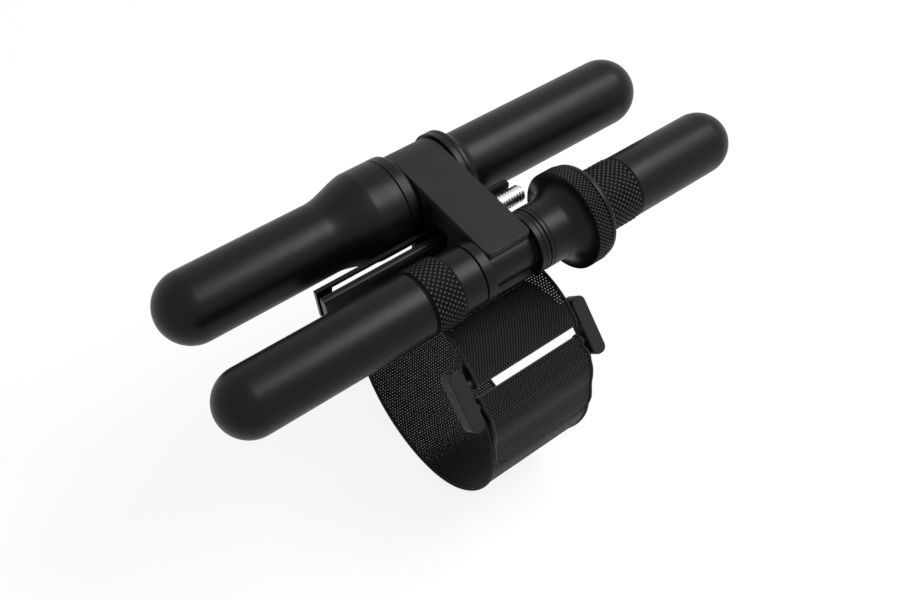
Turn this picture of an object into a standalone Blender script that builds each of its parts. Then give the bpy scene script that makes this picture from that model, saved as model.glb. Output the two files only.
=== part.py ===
"""Strap-on tyre inflation and repair kit: a gas inflator and a plug tool in one carrier.

X runs along the two tubes, +Y points away from the strap's buckle, +Z is up.
The origin is the middle of the saddle pad's flat underside, which sits on the bicycle frame.
"""
import math

import bmesh
import bpy
from mathutils import Vector

MM = 0.001

# Clearances
FIT = 0.35 * MM          # running fit between turned pieces
SEAT = 0.30 * MM         # gap where two pieces rest on each other

# Where the two tubes lie
INFLATOR_Y = 19.55 * MM
INFLATOR_Z = 22.0 * MM
TOOL_Y = -19.55 * MM

# Carrier clip that grips both cores
CLIP_WIDTH = 17.0 * MM
PLATE_THICK = 2.5 * MM
PLATE_NEAR_END = 3.6 * MM     # how far the plate reaches past the tool's axis
PLATE_CORNER = 2.0 * MM
PLATE_WRAP_END = 25.0         # degrees above level where the plate's hook stops
INFLATOR_JAW = 2.3 * MM
INFLATOR_JAW_END = -70.0      # degrees, tip of the lower jaw
TOOL_JAW = 1.9 * MM
TOOL_JAW_END = -140.0
INFLATOR_SEAT_TOP = -220.0    # degrees where the inflator's seat meets the spine's top
INFLATOR_WEB = -150.0         # degrees where the lower jaw leaves the spine
TOOL_SEAT_TOP = 40.0
TOOL_WEB = -35.0
SPINE_HALF = 7.5 * MM
SPINE_WIDTH = 12.0 * MM       # the spine is narrower than the jaws
SEAT_RIB = 1.6 * MM           # wall left at full width beside each seat
EDGE_ROUND = 0.4 * MM

# Foot, its strap slot and the rubber saddle pad
PAD_THICK = 2.0 * MM
PAD_INSET = 0.5 * MM
FOOT_HALF_Y = 8.6 * MM
FOOT_FLOOR = 2.2 * MM
FOOT_ROOF = 2.4 * MM
FOOT_POST = 2.4 * MM
SLOT_CLEAR = 0.5 * MM
FOOT_ROUND = 0.8 * MM

# Strap and buckle
STRAP_WIDTH = 42.6 * MM
STRAP_THICK = 1.2 * MM
STRAP_X = 0.35 * MM           # middle of the webbing at its sewn end
STRAP_SKEW = 1.2 * MM         # how far the webbing drifts towards -X by its tail
LOOP_WIDTH = 74.2 * MM
LOOP_HEIGHT = 81.0 * MM
LOOP_Y = -13.9 * MM
LOOP_TOP = 8.5 * MM           # top of the ellipse that the free loop follows
LOOP_JOIN = 15.0              # degrees above level where the free loop leaves its ellipse
LOOP_STEPS = 30
BUCKLE_INSET = 11.9 * MM      # the buckle's middle back from the loop's front
BUCKLE_Z = -6.0 * MM
BUCKLE_SLOPE = 40.5           # degrees, the buckle's fall towards -Y
BUCKLE_LENGTH = 20.5 * MM
BUCKLE_THICK = 6.1 * MM
BUCKLE_BLOCK = 5.2 * MM
BUCKLE_ROUND = 2.2 * MM
BUCKLE_PLAY = 1.5 * MM        # half of the room for the webbing between the blocks
BAR_RADIUS = 1.5 * MM
BAR_OFFSET = 3.85 * MM
TOP_PULL = 1.33               # how stiffly the webbing leaves the upper bar
TOP_STEPS = 12
BACK_PULL = 0.3               # how stiffly it leaves the foot's far side
BACK_STEPS = 10
FRONT_PULL = 2.0              # how far the loop's front bulges below the buckle
FRONT_STEPS = 6
FOLD_EASE = 17.0 * MM         # length over which a folded layer closes on the run beside it
SEWN_STEPS = 8                # points of the top run that the sewn layer follows
TAIL_STEPS = 3                # points of the loop that the tail covers

# Mounting rail and its stud
RAIL_LEFT = -51.6 * MM
RAIL_SLANT = 2.2 * MM         # how far the left end leans back at its foot
RAIL_STOP = 2.0 * MM
RAIL_TAB_END = 22.9 * MM
RAIL_CLEAR = 0.8 * MM         # room between the rail and the canister's collar
RAIL_GAP = 2.05 * MM
RAIL_FAR_WALL = 1.35 * MM
RAIL_NEAR_WALL = 2.6 * MM
RAIL_FLOOR = 1.5 * MM
RAIL_HEIGHT = 13.2 * MM
RAIL_CORNER = 1.2 * MM
TAB_DROP = 9.0 * MM
TAB_RISE = 4.5 * MM           # the end tab stands above the rail
WINDOW_LEFT = -45.7 * MM
WINDOW_RIGHT = -14.8 * MM
WINDOW_TOP = 1.15 * MM        # band of wall left above the window
STUD_RADIUS = 2.95 * MM
STUD_END = 25.5 * MM
STUD_CHAMFER = 0.8 * MM

# Inflator: head, canister, nozzle cover
CORE_HALF = CLIP_WIDTH / 2 + SEAT
CORE_STEP = 0.7 * MM          # the head's core below the tubes
FLANGE_RISE = 3.5 * MM        # flanges and collar above the tubes
HEAD_RING = 4.4 * MM
HEAD_FLANGE = 4.2 * MM
SPIGOT_RISE = 0.4 * MM        # the canister's thread above the tubes
TUBE_R = 11.5 * MM
CANISTER_DOME_X = -83.0 * MM
CANISTER_WALL = 1.6 * MM
FLARE_START = -38.3 * MM
FLARE_LENGTH = 15.0 * MM
CANISTER_SPIGOT = 10.6 * MM
COVER_DOME_X = 80.1 * MM
COVER_WALL = 1.75 * MM
COVER_FILLET = 3.2 * MM
COVER_FOOT_R = 13.2 * MM
COVER_SPIGOT = 9.0 * MM

# Inside the inflator
CARTRIDGE_PLAY = 0.6 * MM
CARTRIDGE_NECK_R = 4.5 * MM
CARTRIDGE_NECK = 14.0 * MM
CARTRIDGE_SHOULDER = 10.0 * MM
CARTRIDGE_WALL = 1.5 * MM
SOCKET_R = 5.0 * MM
SOCKET_FLOOR = -5.4 * MM
PASSAGE_R = 1.3 * MM
PIN_BASE = 1.2 * MM
PIN_R = 1.1 * MM
SEAL_HEIGHT = 2.0 * MM
CHUCK_SOCKET = 6.0 * MM
CHUCK_STEM_R = 4.9 * MM
CHUCK_R = 8.0 * MM
CHUCK_LENGTH = 14.0 * MM
CHUCK_BORE_R = 4.2 * MM
CHUCK_BORE = 9.5 * MM
GASKET_HEIGHT = 3.0 * MM
GASKET_HOLE_R = 2.6 * MM

# Plug tool: handle, guard bell and two caps
TOOL_CORE_R = 7.3 * MM
TOOL_RING_R = 10.2 * MM
TOOL_RING = 3.4 * MM
CAP_R = 10.5 * MM
CAP_WALL = 1.6 * MM
KNURL_R = 10.85 * MM
CAP_SPIGOT_R = 6.9 * MM
CAP_SPIGOT = 9.6 * MM
REAMER_CAP_DOME_X = -88.3 * MM
REAMER_CAP_LIP_R = 9.9 * MM
REAMER_CAP_LIP = 8.0 * MM
REAMER_KNURL = 11.5 * MM
BELL_R = 10.3 * MM
BELL_BODY = 8.0 * MM
BELL_FLARE = 5.4 * MM
BELL_RIM_R = 16.8 * MM
BELL_RIM = 6.0 * MM
BELL_LIP = 2.5 * MM
BELL_STEM_R = 5.2 * MM
PLUG_CAP_DOME_X = 86.8 * MM
PLUG_KNURL = 16.2 * MM
SHANK_BORE_R = 2.2 * MM
SHANK_DEPTH = 12.0 * MM
REAMER_R = 1.85 * MM
REAMER_LENGTH = 74.0 * MM
REAMER_POINT = 9.0 * MM
COLLET_R = 5.0 * MM
COLLET_HEIGHT = 2.4 * MM
FORK_SHANK_R = 1.85 * MM
FORK_HEAD_R = 3.1 * MM
FORK_SLOT = 3.3 * MM
FORK_EYE = 9.0 * MM
FORK_LENGTH = 47.0 * MM
PLUG_R = 1.3 * MM
PLUG_LENGTH = 24.0 * MM

# O-rings: one cord size for the big mouth and one for the small ones
BIG_CORD = 0.70 * MM
SMALL_CORD = 0.55 * MM

# Facets
FINE = 32
PLAIN = 20
SMALL = 12
DOME_STEPS = 6

# Values that follow from the sizes above
HEAD_CORE_R = TUBE_R - CORE_STEP
HEAD_FLANGE_R = TUBE_R + FLANGE_RISE
CANISTER_SPIGOT_R = TUBE_R + SPIGOT_RISE
PLATE_UNDER = INFLATOR_Z + HEAD_CORE_R + SEAT
PLATE_TOP = PLATE_UNDER + PLATE_THICK
TOOL_Z = PLATE_UNDER - FIT - TOOL_CORE_R
FOOT_UNDER = PAD_THICK + SEAT
SLOT_UNDER = FOOT_UNDER + FOOT_FLOOR
SLOT_HEIGHT = STRAP_THICK + 2 * SLOT_CLEAR
STRAP_Z = SLOT_UNDER + SLOT_HEIGHT / 2
FOOT_TOP = SLOT_UNDER + SLOT_HEIGHT + FOOT_ROOF
SLOT_HALF_X = STRAP_WIDTH / 2 + STRAP_X + SLOT_CLEAR
FOOT_HALF_X = SLOT_HALF_X + FOOT_POST
STRAP_REACH = BAR_RADIUS + SEAT + STRAP_THICK / 2
LOOP_HALF_Y = LOOP_WIDTH / 2
LOOP_HALF_Z = LOOP_HEIGHT / 2
LOOP_Z = LOOP_TOP - LOOP_HALF_Z
BUCKLE_Y = LOOP_Y - LOOP_HALF_Y + BUCKLE_INSET
BUCKLE_HALF = STRAP_WIDTH / 2 + BUCKLE_PLAY
BUCKLE_X = STRAP_X - BUCKLE_PLAY + SEAT
RAIL_UNDER = FOOT_TOP + SEAT
RAIL_TOP = RAIL_UNDER + RAIL_HEIGHT
RAIL_FAR = INFLATOR_Y - HEAD_FLANGE_R - RAIL_CLEAR
CHANNEL_FAR = RAIL_FAR - RAIL_FAR_WALL
CHANNEL_NEAR = CHANNEL_FAR - RAIL_GAP
RAIL_NEAR = CHANNEL_NEAR - RAIL_NEAR_WALL
TAB_TOP = RAIL_TOP + TAB_RISE
STUD_Y = CHANNEL_FAR - SEAT - STUD_RADIUS
HEAD_LEFT = -CORE_HALF - HEAD_RING
HEAD_RIGHT = CORE_HALF + HEAD_FLANGE
CANISTER_MOUTH = HEAD_LEFT - SEAT
COVER_MOUTH = HEAD_RIGHT + SEAT
COVER_BORE_R = TUBE_R - COVER_WALL
COVER_SPIGOT_R = COVER_BORE_R - FIT
HANDLE_LEFT = -CORE_HALF - TOOL_RING
HANDLE_RIGHT = CORE_HALF + TOOL_RING
REAMER_CAP_MOUTH = HANDLE_LEFT - SEAT
BELL_LEFT = HANDLE_RIGHT + SEAT
BELL_FACE = BELL_LEFT + BELL_BODY + BELL_FLARE + BELL_RIM + BELL_LIP
PLUG_CAP_MOUTH = BELL_FACE + SEAT
CAP_BORE_R = CAP_R - CAP_WALL
STEM_END = BELL_FACE + CAP_SPIGOT
CARTRIDGE_R = TUBE_R - CANISTER_WALL - CARTRIDGE_PLAY

parts = None
cutters = None


def clear_scene():
    """Start from an empty scene."""
    for obj in list(bpy.data.objects):
        bpy.data.objects.remove(obj, do_unlink=True)


def make_collection(name):
    """Add a collection to the scene."""
    group = bpy.data.collections.new(name)
    bpy.context.scene.collection.children.link(group)
    return group


def material(name, colour, roughness, metallic):
    """Plain surface with the piece's own colour."""
    mat = bpy.data.materials.new(name)
    mat.use_nodes = True
    shader = mat.node_tree.nodes["Principled BSDF"]
    shader.inputs["Base Color"].default_value = (*colour, 1.0)
    shader.inputs["Roughness"].default_value = roughness
    shader.inputs["Metallic"].default_value = metallic
    return mat


def anodised(name):
    """Black anodised aluminium."""
    return material(name, (0.018, 0.018, 0.019), 0.42, 0.6)


def black_plastic(name):
    """Black moulded plastic."""
    return material(name, (0.026, 0.026, 0.027), 0.55, 0.0)


def black_rubber(name):
    """Black rubber."""
    return material(name, (0.012, 0.012, 0.012), 0.8, 0.0)


def steel(name):
    """Plated steel."""
    return material(name, (0.62, 0.62, 0.63), 0.28, 1.0)


def add_object(name, mesh, mat, parent=None, location=(0, 0, 0), rotation=(0, 0, 0)):
    """Put a mesh in the parts collection under its own name."""
    obj = bpy.data.objects.new(name, mesh)
    parts.objects.link(obj)
    mesh.materials.append(mat)
    obj.parent = parent
    obj.location = location
    obj.rotation_euler = rotation
    return obj


def add_empty(name, location, parent=None):
    """An axis that moving pieces hang on."""
    obj = bpy.data.objects.new(name, None)
    parts.objects.link(obj)
    obj.location = location
    obj.parent = parent
    return obj


def arc(centre_x, centre_r, radius, start, end, steps):
    """Points on an arc in a profile's plane, angles in degrees from +X."""
    points = []
    for step in range(steps + 1):
        angle = math.radians(start + (end - start) * step / steps)
        points.append((centre_x + radius * math.cos(angle), centre_r + radius * math.sin(angle)))
    return points


def on_axis(points):
    """Set a dome's tip exactly on the axis."""
    return [(x, 0.0 if abs(r) < 1e-9 else r) for x, r in points]


def turned(name, mat, parent, outer, inner=(), segments=FINE):
    """Turn a profile about the X axis.

    outer runs from the +X end to the -X end, inner runs back along the bore.
    """
    outer = on_axis(outer)
    inner = on_axis(inner)
    if inner and outer[-1][1] == 0.0:
        points = inner + outer
    else:
        points = outer + inner
    closed = points[0][1] > 0.0
    mesh = bpy.data.meshes.new(name)
    edges = [(i, i + 1) for i in range(len(points) - 1)]
    if closed:
        edges.append((len(points) - 1, 0))
    mesh.from_pydata([(r, 0.0, x) for x, r in points], edges, [])
    obj = add_object(name, mesh, mat, parent, rotation=(0.0, math.pi / 2, 0.0))
    screw = obj.modifiers.new("turn", "SCREW")
    screw.axis = "Z"
    screw.angle = 2 * math.pi
    screw.steps = segments
    screw.render_steps = segments
    screw.use_merge_vertices = True
    screw.merge_threshold = 0.00001
    screw.use_smooth_shade = True
    return obj


def o_ring(name, parent, x, inner_r, cord, segments=FINE):
    """A rubber ring whose hole has the given radius."""
    bpy.ops.mesh.primitive_torus_add(
        major_radius=inner_r + cord, minor_radius=cord, major_segments=segments, minor_segments=6)
    obj = bpy.context.object
    for group in list(obj.users_collection):
        group.objects.unlink(obj)
    parts.objects.link(obj)
    obj.name = name
    obj.data.name = name
    obj.data.materials.append(black_rubber(name))
    obj.data.shade_smooth()
    obj.parent = parent
    obj.location = (x, 0.0, 0.0)
    obj.rotation_euler = (0.0, math.pi / 2, 0.0)
    return obj


def outline_mesh(name, points, half_width):
    """Extrude a closed outline, given as (y, z), to both sides along X."""
    curve = bpy.data.curves.new(name, "CURVE")
    curve.dimensions = "2D"
    curve.fill_mode = "BOTH"
    curve.extrude = half_width
    spline = curve.splines.new("POLY")
    spline.points.add(len(points) - 1)
    for point, (y, z) in zip(spline.points, points):
        point.co = (y, z, 0.0, 1.0)
    spline.use_cyclic_u = True
    guide = bpy.data.objects.new(name, curve)
    bpy.context.scene.collection.objects.link(guide)
    bpy.context.view_layer.update()
    depsgraph = bpy.context.evaluated_depsgraph_get()
    mesh = bpy.data.meshes.new_from_object(guide.evaluated_get(depsgraph))
    bpy.data.objects.remove(guide, do_unlink=True)
    edit = bmesh.new()
    edit.from_mesh(mesh)
    bmesh.ops.remove_doubles(edit, verts=edit.verts, dist=0.000001)
    for vert in edit.verts:
        vert.co = Vector((vert.co.z, vert.co.x, vert.co.y))
    edit.normal_update()
    bmesh.ops.recalc_face_normals(edit, faces=edit.faces)
    edit.to_mesh(mesh)
    edit.free()
    mesh.name = name
    return mesh


def box_mesh(name, low, high):
    """A box between two corners."""
    mesh = bpy.data.meshes.new(name)
    edit = bmesh.new()
    bmesh.ops.create_cube(edit, size=1.0)
    for vert in edit.verts:
        for axis in range(3):
            vert.co[axis] = low[axis] if vert.co[axis] < 0 else high[axis]
    edit.to_mesh(mesh)
    edit.free()
    return mesh


def cylinder_mesh(name, low, high, y, z, radius, segments):
    """A cylinder along X."""
    mesh = bpy.data.meshes.new(name)
    edit = bmesh.new()
    bmesh.ops.create_cone(edit, cap_ends=True, segments=segments, radius1=radius, radius2=radius,
                          depth=high - low)
    for vert in edit.verts:
        vert.co = Vector((vert.co.z + (low + high) / 2, vert.co.x + y, vert.co.y + z))
    edit.normal_update()
    bmesh.ops.recalc_face_normals(edit, faces=edit.faces)
    edit.to_mesh(mesh)
    edit.free()
    return mesh


def combine(obj, mesh, operation):
    """Join a mesh to an object, or cut it away."""
    helper = bpy.data.objects.new(mesh.name, mesh)
    cutters.objects.link(helper)
    helper.hide_render = True
    helper.display_type = "WIRE"
    helper.parent = obj.parent
    helper.location = obj.location
    helper.rotation_euler = obj.rotation_euler
    boolean = obj.modifiers.new(mesh.name, "BOOLEAN")
    boolean.operation = operation
    boolean.solver = "EXACT"
    boolean.object = helper


def round_edges(obj, width, segments=2):
    """Round an object's sharp edges."""
    bevel = obj.modifiers.new("round", "BEVEL")
    bevel.width = width
    bevel.segments = segments
    bevel.limit_method = "ANGLE"
    bevel.angle_limit = math.radians(40)


def bevel_where(mesh, wanted, width, segments):
    """Round the edges of a mesh that a test picks out."""
    edit = bmesh.new()
    edit.from_mesh(mesh)
    chosen = [edge for edge in edit.edges if wanted(edge.verts[0].co, edge.verts[1].co)]
    bmesh.ops.bevel(edit, geom=chosen, offset=width, offset_type="OFFSET", segments=segments,
                    profile=0.5, affect="EDGES")
    edit.to_mesh(mesh)
    edit.free()


def make_carrier(root):
    """Spine with two C-shaped seats on a foot that the strap passes through."""
    inflator_seat = HEAD_CORE_R + FIT
    tool_seat = TOOL_CORE_R + FIT
    inflator_jaw = inflator_seat + INFLATOR_JAW
    tool_jaw = tool_seat + TOOL_JAW
    spine_top = PLATE_UNDER - SEAT
    tool_arc = arc(TOOL_Y, TOOL_Z, tool_seat, TOOL_SEAT_TOP, TOOL_JAW_END, 18)
    tool_back = arc(TOOL_Y, TOOL_Z, tool_jaw, TOOL_JAW_END, TOOL_WEB, 10)
    inflator_back = arc(INFLATOR_Y, INFLATOR_Z, inflator_jaw, INFLATOR_WEB, INFLATOR_JAW_END, 8)
    inflator_arc = arc(INFLATOR_Y, INFLATOR_Z, inflator_seat, INFLATOR_JAW_END, INFLATOR_SEAT_TOP, 18)
    outline = [(inflator_arc[-1][0], spine_top), (tool_arc[0][0], spine_top)]
    outline += tool_arc + tool_back
    outline += [(-SPINE_HALF, FOOT_TOP + SPINE_HALF / 2), (-SPINE_HALF, FOOT_TOP - FOOT_ROOF / 2)]
    outline += [(SPINE_HALF, FOOT_TOP - FOOT_ROOF / 2), (SPINE_HALF, FOOT_TOP + SPINE_HALF / 2)]
    outline += inflator_back + inflator_arc
    mesh = outline_mesh("carrier_body", outline, CLIP_WIDTH / 2)
    obj = add_object("carrier_body", mesh, black_plastic("carrier_body"), root)
    foot = box_mesh("foot", (-FOOT_HALF_X, -FOOT_HALF_Y, FOOT_UNDER), (FOOT_HALF_X, FOOT_HALF_Y, FOOT_TOP))
    bevel_where(foot, lambda a, b: abs(a.z - b.z) > MM, 2 * FOOT_ROUND, 3)
    combine(obj, foot, "UNION")
    slot_low = (-SLOT_HALF_X, -2 * FOOT_HALF_Y, SLOT_UNDER)
    slot_high = (SLOT_HALF_X, 2 * FOOT_HALF_Y, SLOT_UNDER + SLOT_HEIGHT)
    combine(obj, box_mesh("strap_slot", slot_low, slot_high), "DIFFERENCE")
    rail_low = (-CLIP_WIDTH, RAIL_NEAR - SEAT, RAIL_UNDER - SEAT / 2)
    rail_high = (RAIL_STOP + SEAT, RAIL_FAR + SEAT, RAIL_TOP + SEAT)
    combine(obj, box_mesh("rail_pocket", rail_low, rail_high), "DIFFERENCE")
    tab_low = (-SEAT, CHANNEL_FAR - SEAT, RAIL_TOP - TAB_DROP - SEAT)
    tab_high = (CLIP_WIDTH, RAIL_FAR + SEAT, TAB_TOP + SEAT)
    combine(obj, box_mesh("tab_pocket", tab_low, tab_high), "DIFFERENCE")
    hole = cylinder_mesh("stud_hole", 0.0, CLIP_WIDTH, STUD_Y, RAIL_TOP, STUD_RADIUS + SEAT, PLAIN)
    combine(obj, hole, "DIFFERENCE")
    near = TOOL_Y + tool_seat + SEAT_RIB
    far = INFLATOR_Y - inflator_seat - SEAT_RIB
    for side in (-1, 1):
        ends = sorted((side * SPINE_WIDTH / 2, side * CLIP_WIDTH))
        recess = box_mesh("spine_recess", (ends[0], near, FOOT_TOP + FOOT_ROUND), (ends[1], far, PLATE_TOP))
        combine(obj, recess, "DIFFERENCE")
    return obj


def make_plate(root):
    """Flat plate over both cores, hooked round the far side of the inflator."""
    near = TOOL_Y - PLATE_NEAR_END
    outer_r = PLATE_TOP - INFLATOR_Z
    inner_r = PLATE_UNDER - INFLATOR_Z
    outline = [(near, PLATE_TOP)]
    outline += arc(INFLATOR_Y, INFLATOR_Z, outer_r, 90, PLATE_WRAP_END, 8)
    outline += arc(INFLATOR_Y, INFLATOR_Z, inner_r, PLATE_WRAP_END, 90, 8)
    outline += [(near, PLATE_UNDER)]
    mesh = outline_mesh("clip_plate", outline, CLIP_WIDTH / 2)
    corner = near + EDGE_ROUND
    bevel_where(mesh, lambda a, b: a.y < corner and b.y < corner and abs(a.z - b.z) > MM, PLATE_CORNER, 4)
    obj = add_object("clip_plate", mesh, black_plastic("clip_plate"), root)
    round_edges(obj, EDGE_ROUND)
    return obj


def make_pad(root):
    """Rubber pad under the foot, flat where it meets the frame tube."""
    reach_x = FOOT_HALF_X - PAD_INSET
    reach_y = FOOT_HALF_Y - PAD_INSET
    mesh = box_mesh("saddle_pad", (-reach_x, -reach_y, 0.0), (reach_x, reach_y, PAD_THICK))
    bevel_where(mesh, lambda a, b: abs(a.z - b.z) > MM, 2 * FOOT_ROUND, 3)
    return add_object("saddle_pad", mesh, black_rubber("saddle_pad"), root)


def make_rail(root):
    """Open channel between the tubes, with a long window in its far wall and an end tab."""
    mesh = box_mesh("mount_rail", (RAIL_LEFT, RAIL_NEAR, RAIL_UNDER), (RAIL_STOP, RAIL_FAR, RAIL_TOP))
    for vert in mesh.vertices:
        if vert.co.x < 0 and vert.co.z < RAIL_TOP - MM:
            vert.co.x += RAIL_SLANT
    bevel_where(mesh, lambda a, b: max(a.y, b.y) < 0 and min(a.z, b.z) > RAIL_TOP - MM, RAIL_CORNER, 3)
    obj = add_object("mount_rail", mesh, anodised("mount_rail"), root)
    tab_low = (RAIL_STOP - RAIL_FAR_WALL, CHANNEL_FAR, RAIL_TOP - TAB_DROP)
    tab = box_mesh("rail_tab", tab_low, (RAIL_TAB_END, RAIL_FAR, TAB_TOP))
    right = RAIL_TAB_END - MM
    bevel_where(tab, lambda a, b: min(a.x, b.x) > right and abs(a.y - b.y) > RAIL_FAR_WALL / 2,
                2 * RAIL_CORNER, 4)
    combine(obj, tab, "UNION")
    gap_low = (RAIL_LEFT - MM, CHANNEL_NEAR, RAIL_UNDER + RAIL_FLOOR)
    gap_high = (RAIL_STOP + MM, CHANNEL_FAR, RAIL_TOP + MM)
    combine(obj, box_mesh("rail_channel", gap_low, gap_high), "DIFFERENCE")
    window_low = (WINDOW_LEFT, CHANNEL_FAR - MM, RAIL_UNDER + RAIL_FLOOR)
    window_high = (WINDOW_RIGHT, RAIL_FAR + MM, RAIL_TOP - WINDOW_TOP)
    combine(obj, box_mesh("rail_window", window_low, window_high), "DIFFERENCE")
    return obj


def make_stud(root):
    """Plated stud that locks the rail in the carrier."""
    left = RAIL_STOP + 2 * SEAT
    tip = STUD_RADIUS - STUD_CHAMFER
    axis = add_empty("stud_axis", (0.0, STUD_Y, RAIL_TOP), root)
    outer = [(STUD_END, 0.0), (STUD_END, tip), (STUD_END - STUD_CHAMFER, STUD_RADIUS)]
    outer += [(left + STUD_CHAMFER, STUD_RADIUS), (left, tip), (left, 0.0)]
    return turned("rail_stud", steel("rail_stud"), axis, outer, segments=PLAIN)


def ease(value):
    """Smooth step from 0 to 1."""
    value = min(1.0, max(0.0, value))
    return value * value * (3 - 2 * value)


def blend_curve(start, start_pull, end, end_pull, steps):
    """Points of a smooth run between two points with given end tangents, both ends left out."""
    points = []
    for step in range(1, steps):
        t = step / steps
        h00 = 2 * t ** 3 - 3 * t ** 2 + 1
        h10 = t ** 3 - 2 * t ** 2 + t
        h01 = -2 * t ** 3 + 3 * t ** 2
        h11 = t ** 3 - t ** 2
        points.append(start * h00 + start_pull * h10 + end * h01 + end_pull * h11)
    return points


def buckle_point(along, out):
    """A point in the buckle's plane, along the strap towards its tail and out of the loop."""
    slope = math.radians(BUCKLE_SLOPE)
    tail = Vector((-math.cos(slope), -math.sin(slope)))
    outward = Vector((-math.sin(slope), math.cos(slope)))
    return Vector((BUCKLE_Y, BUCKLE_Z)) + tail * along + outward * out


def wrap_bar(along, side):
    """Half turn of the strap round a bar, from inside the loop to outside it."""
    points = []
    for step in range(1, 8):
        angle = math.pi * step / 8
        out = -STRAP_REACH * math.cos(angle)
        points.append(buckle_point(along + side * STRAP_REACH * math.sin(angle), out))
    return points


def folded(path):
    """The layer beside a path: wide apart at the bar where it starts, then close to the path."""
    layer = STRAP_THICK + FIT
    points = []
    travelled = 0.0
    for index, point in enumerate(path):
        before = path[max(index - 1, 0)]
        after = path[min(index + 1, len(path) - 1)]
        travelled += (point - before).length
        run = (after - before).normalized()
        spread = layer + (2 * STRAP_REACH - layer) * (1 - ease(travelled / FOLD_EASE))
        points.append(point + Vector((run.y, -run.x)) * spread)
    return points


def strap_route():
    """Middle line of the webbing as (y, z), from its sewn end to the tip of its tail."""
    upper_bar = buckle_point(-BAR_OFFSET, STRAP_REACH)
    lower_bar = buckle_point(BAR_OFFSET, -STRAP_REACH)
    uphill = (buckle_point(-1.0, 0.0) - buckle_point(0.0, 0.0)).normalized()
    loop = []
    for step in range(LOOP_STEPS + 1):
        angle = math.radians(LOOP_JOIN - (180 + 2 * LOOP_JOIN) * step / LOOP_STEPS)
        loop.append(Vector((LOOP_Y + LOOP_HALF_Y * math.cos(angle), LOOP_Z + LOOP_HALF_Z * math.sin(angle))))
    foot_front = Vector((-FOOT_HALF_Y, STRAP_Z))
    foot_back = Vector((FOOT_HALF_Y, STRAP_Z))
    level = Vector((1.0, 0.0))
    top_span = (foot_front - upper_bar).length
    top_run = [upper_bar]
    top_run += blend_curve(upper_bar, uphill * TOP_PULL * top_span, foot_front, level * top_span, TOP_STEPS)
    back_span = (loop[0] - foot_back).length
    back_pull = (loop[1] - loop[0]).normalized() * back_span
    back_run = blend_curve(foot_back, level * BACK_PULL * back_span, loop[0], back_pull, BACK_STEPS)
    front_span = (lower_bar - loop[-1]).length
    front_pull = (loop[-1] - loop[-2]).normalized() * FRONT_PULL * front_span
    front_run = blend_curve(loop[-1], front_pull, lower_bar, uphill * front_span, FRONT_STEPS)
    front_run.append(lower_bar)
    tail_path = list(reversed(front_run)) + list(reversed(loop))[:TAIL_STEPS]
    route = list(reversed(folded(top_run[:SEWN_STEPS])))
    route += wrap_bar(-BAR_OFFSET, 1)
    route += top_run + [foot_front, foot_back] + back_run + loop + front_run
    route += wrap_bar(BAR_OFFSET, -1)
    route += folded(tail_path)
    return route


def make_strap(root):
    """One length of webbing: sewn round a bar, through the foot, round the frame and back."""
    route = strap_route()
    half = STRAP_WIDTH / 2
    lengths = [0.0]
    for before, after in zip(route, route[1:]):
        lengths.append(lengths[-1] + (after - before).length)
    verts = []
    for point, length in zip(route, lengths):
        middle = STRAP_X - STRAP_SKEW * length / lengths[-1]
        verts.append((middle - half, point.x, point.y))
        verts.append((middle + half, point.x, point.y))
    faces = [(2 * i, 2 * i + 1, 2 * i + 3, 2 * i + 2) for i in range(len(route) - 1)]
    mesh = bpy.data.meshes.new("strap")
    mesh.from_pydata(verts, [], faces)
    obj = add_object("strap", mesh, material("strap", (0.014, 0.014, 0.015), 0.85, 0.0), root)
    solid = obj.modifiers.new("webbing", "SOLIDIFY")
    solid.thickness = STRAP_THICK
    solid.offset = 0.0
    solid.use_even_offset = True
    return obj


def make_buckle(root):
    """Ring of two end blocks and two bars that the strap folds round."""
    axis = add_empty("buckle_axis", (BUCKLE_X, BUCKLE_Y, BUCKLE_Z), root)
    blocks = []
    for side in (-1, 1):
        ends = sorted((side * BUCKLE_HALF, side * (BUCKLE_HALF + BUCKLE_BLOCK)))
        low = (ends[0], -BUCKLE_LENGTH / 2, -BUCKLE_THICK / 2)
        high = (ends[1], BUCKLE_LENGTH / 2, BUCKLE_THICK / 2)
        block = box_mesh("buckle_block", low, high)
        bevel_where(block, lambda a, b: abs(a.z - b.z) > MM, BUCKLE_ROUND, 4)
        bevel_where(block, lambda a, b: abs(a.z - b.z) < MM, EDGE_ROUND, 1)
        blocks.append(block)
    rotation = (math.radians(BUCKLE_SLOPE), 0.0, 0.0)
    mat = black_plastic("strap_buckle")
    obj = add_object("strap_buckle", blocks[0], mat, axis, rotation=rotation)
    reach = BUCKLE_HALF + BUCKLE_BLOCK / 2
    for side in (-1, 1):
        bar = cylinder_mesh("buckle_bar", -reach, reach, side * BAR_OFFSET, 0.0, BAR_RADIUS, SMALL)
        combine(obj, bar, "UNION")
    combine(obj, blocks[1], "UNION")
    return obj


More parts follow.
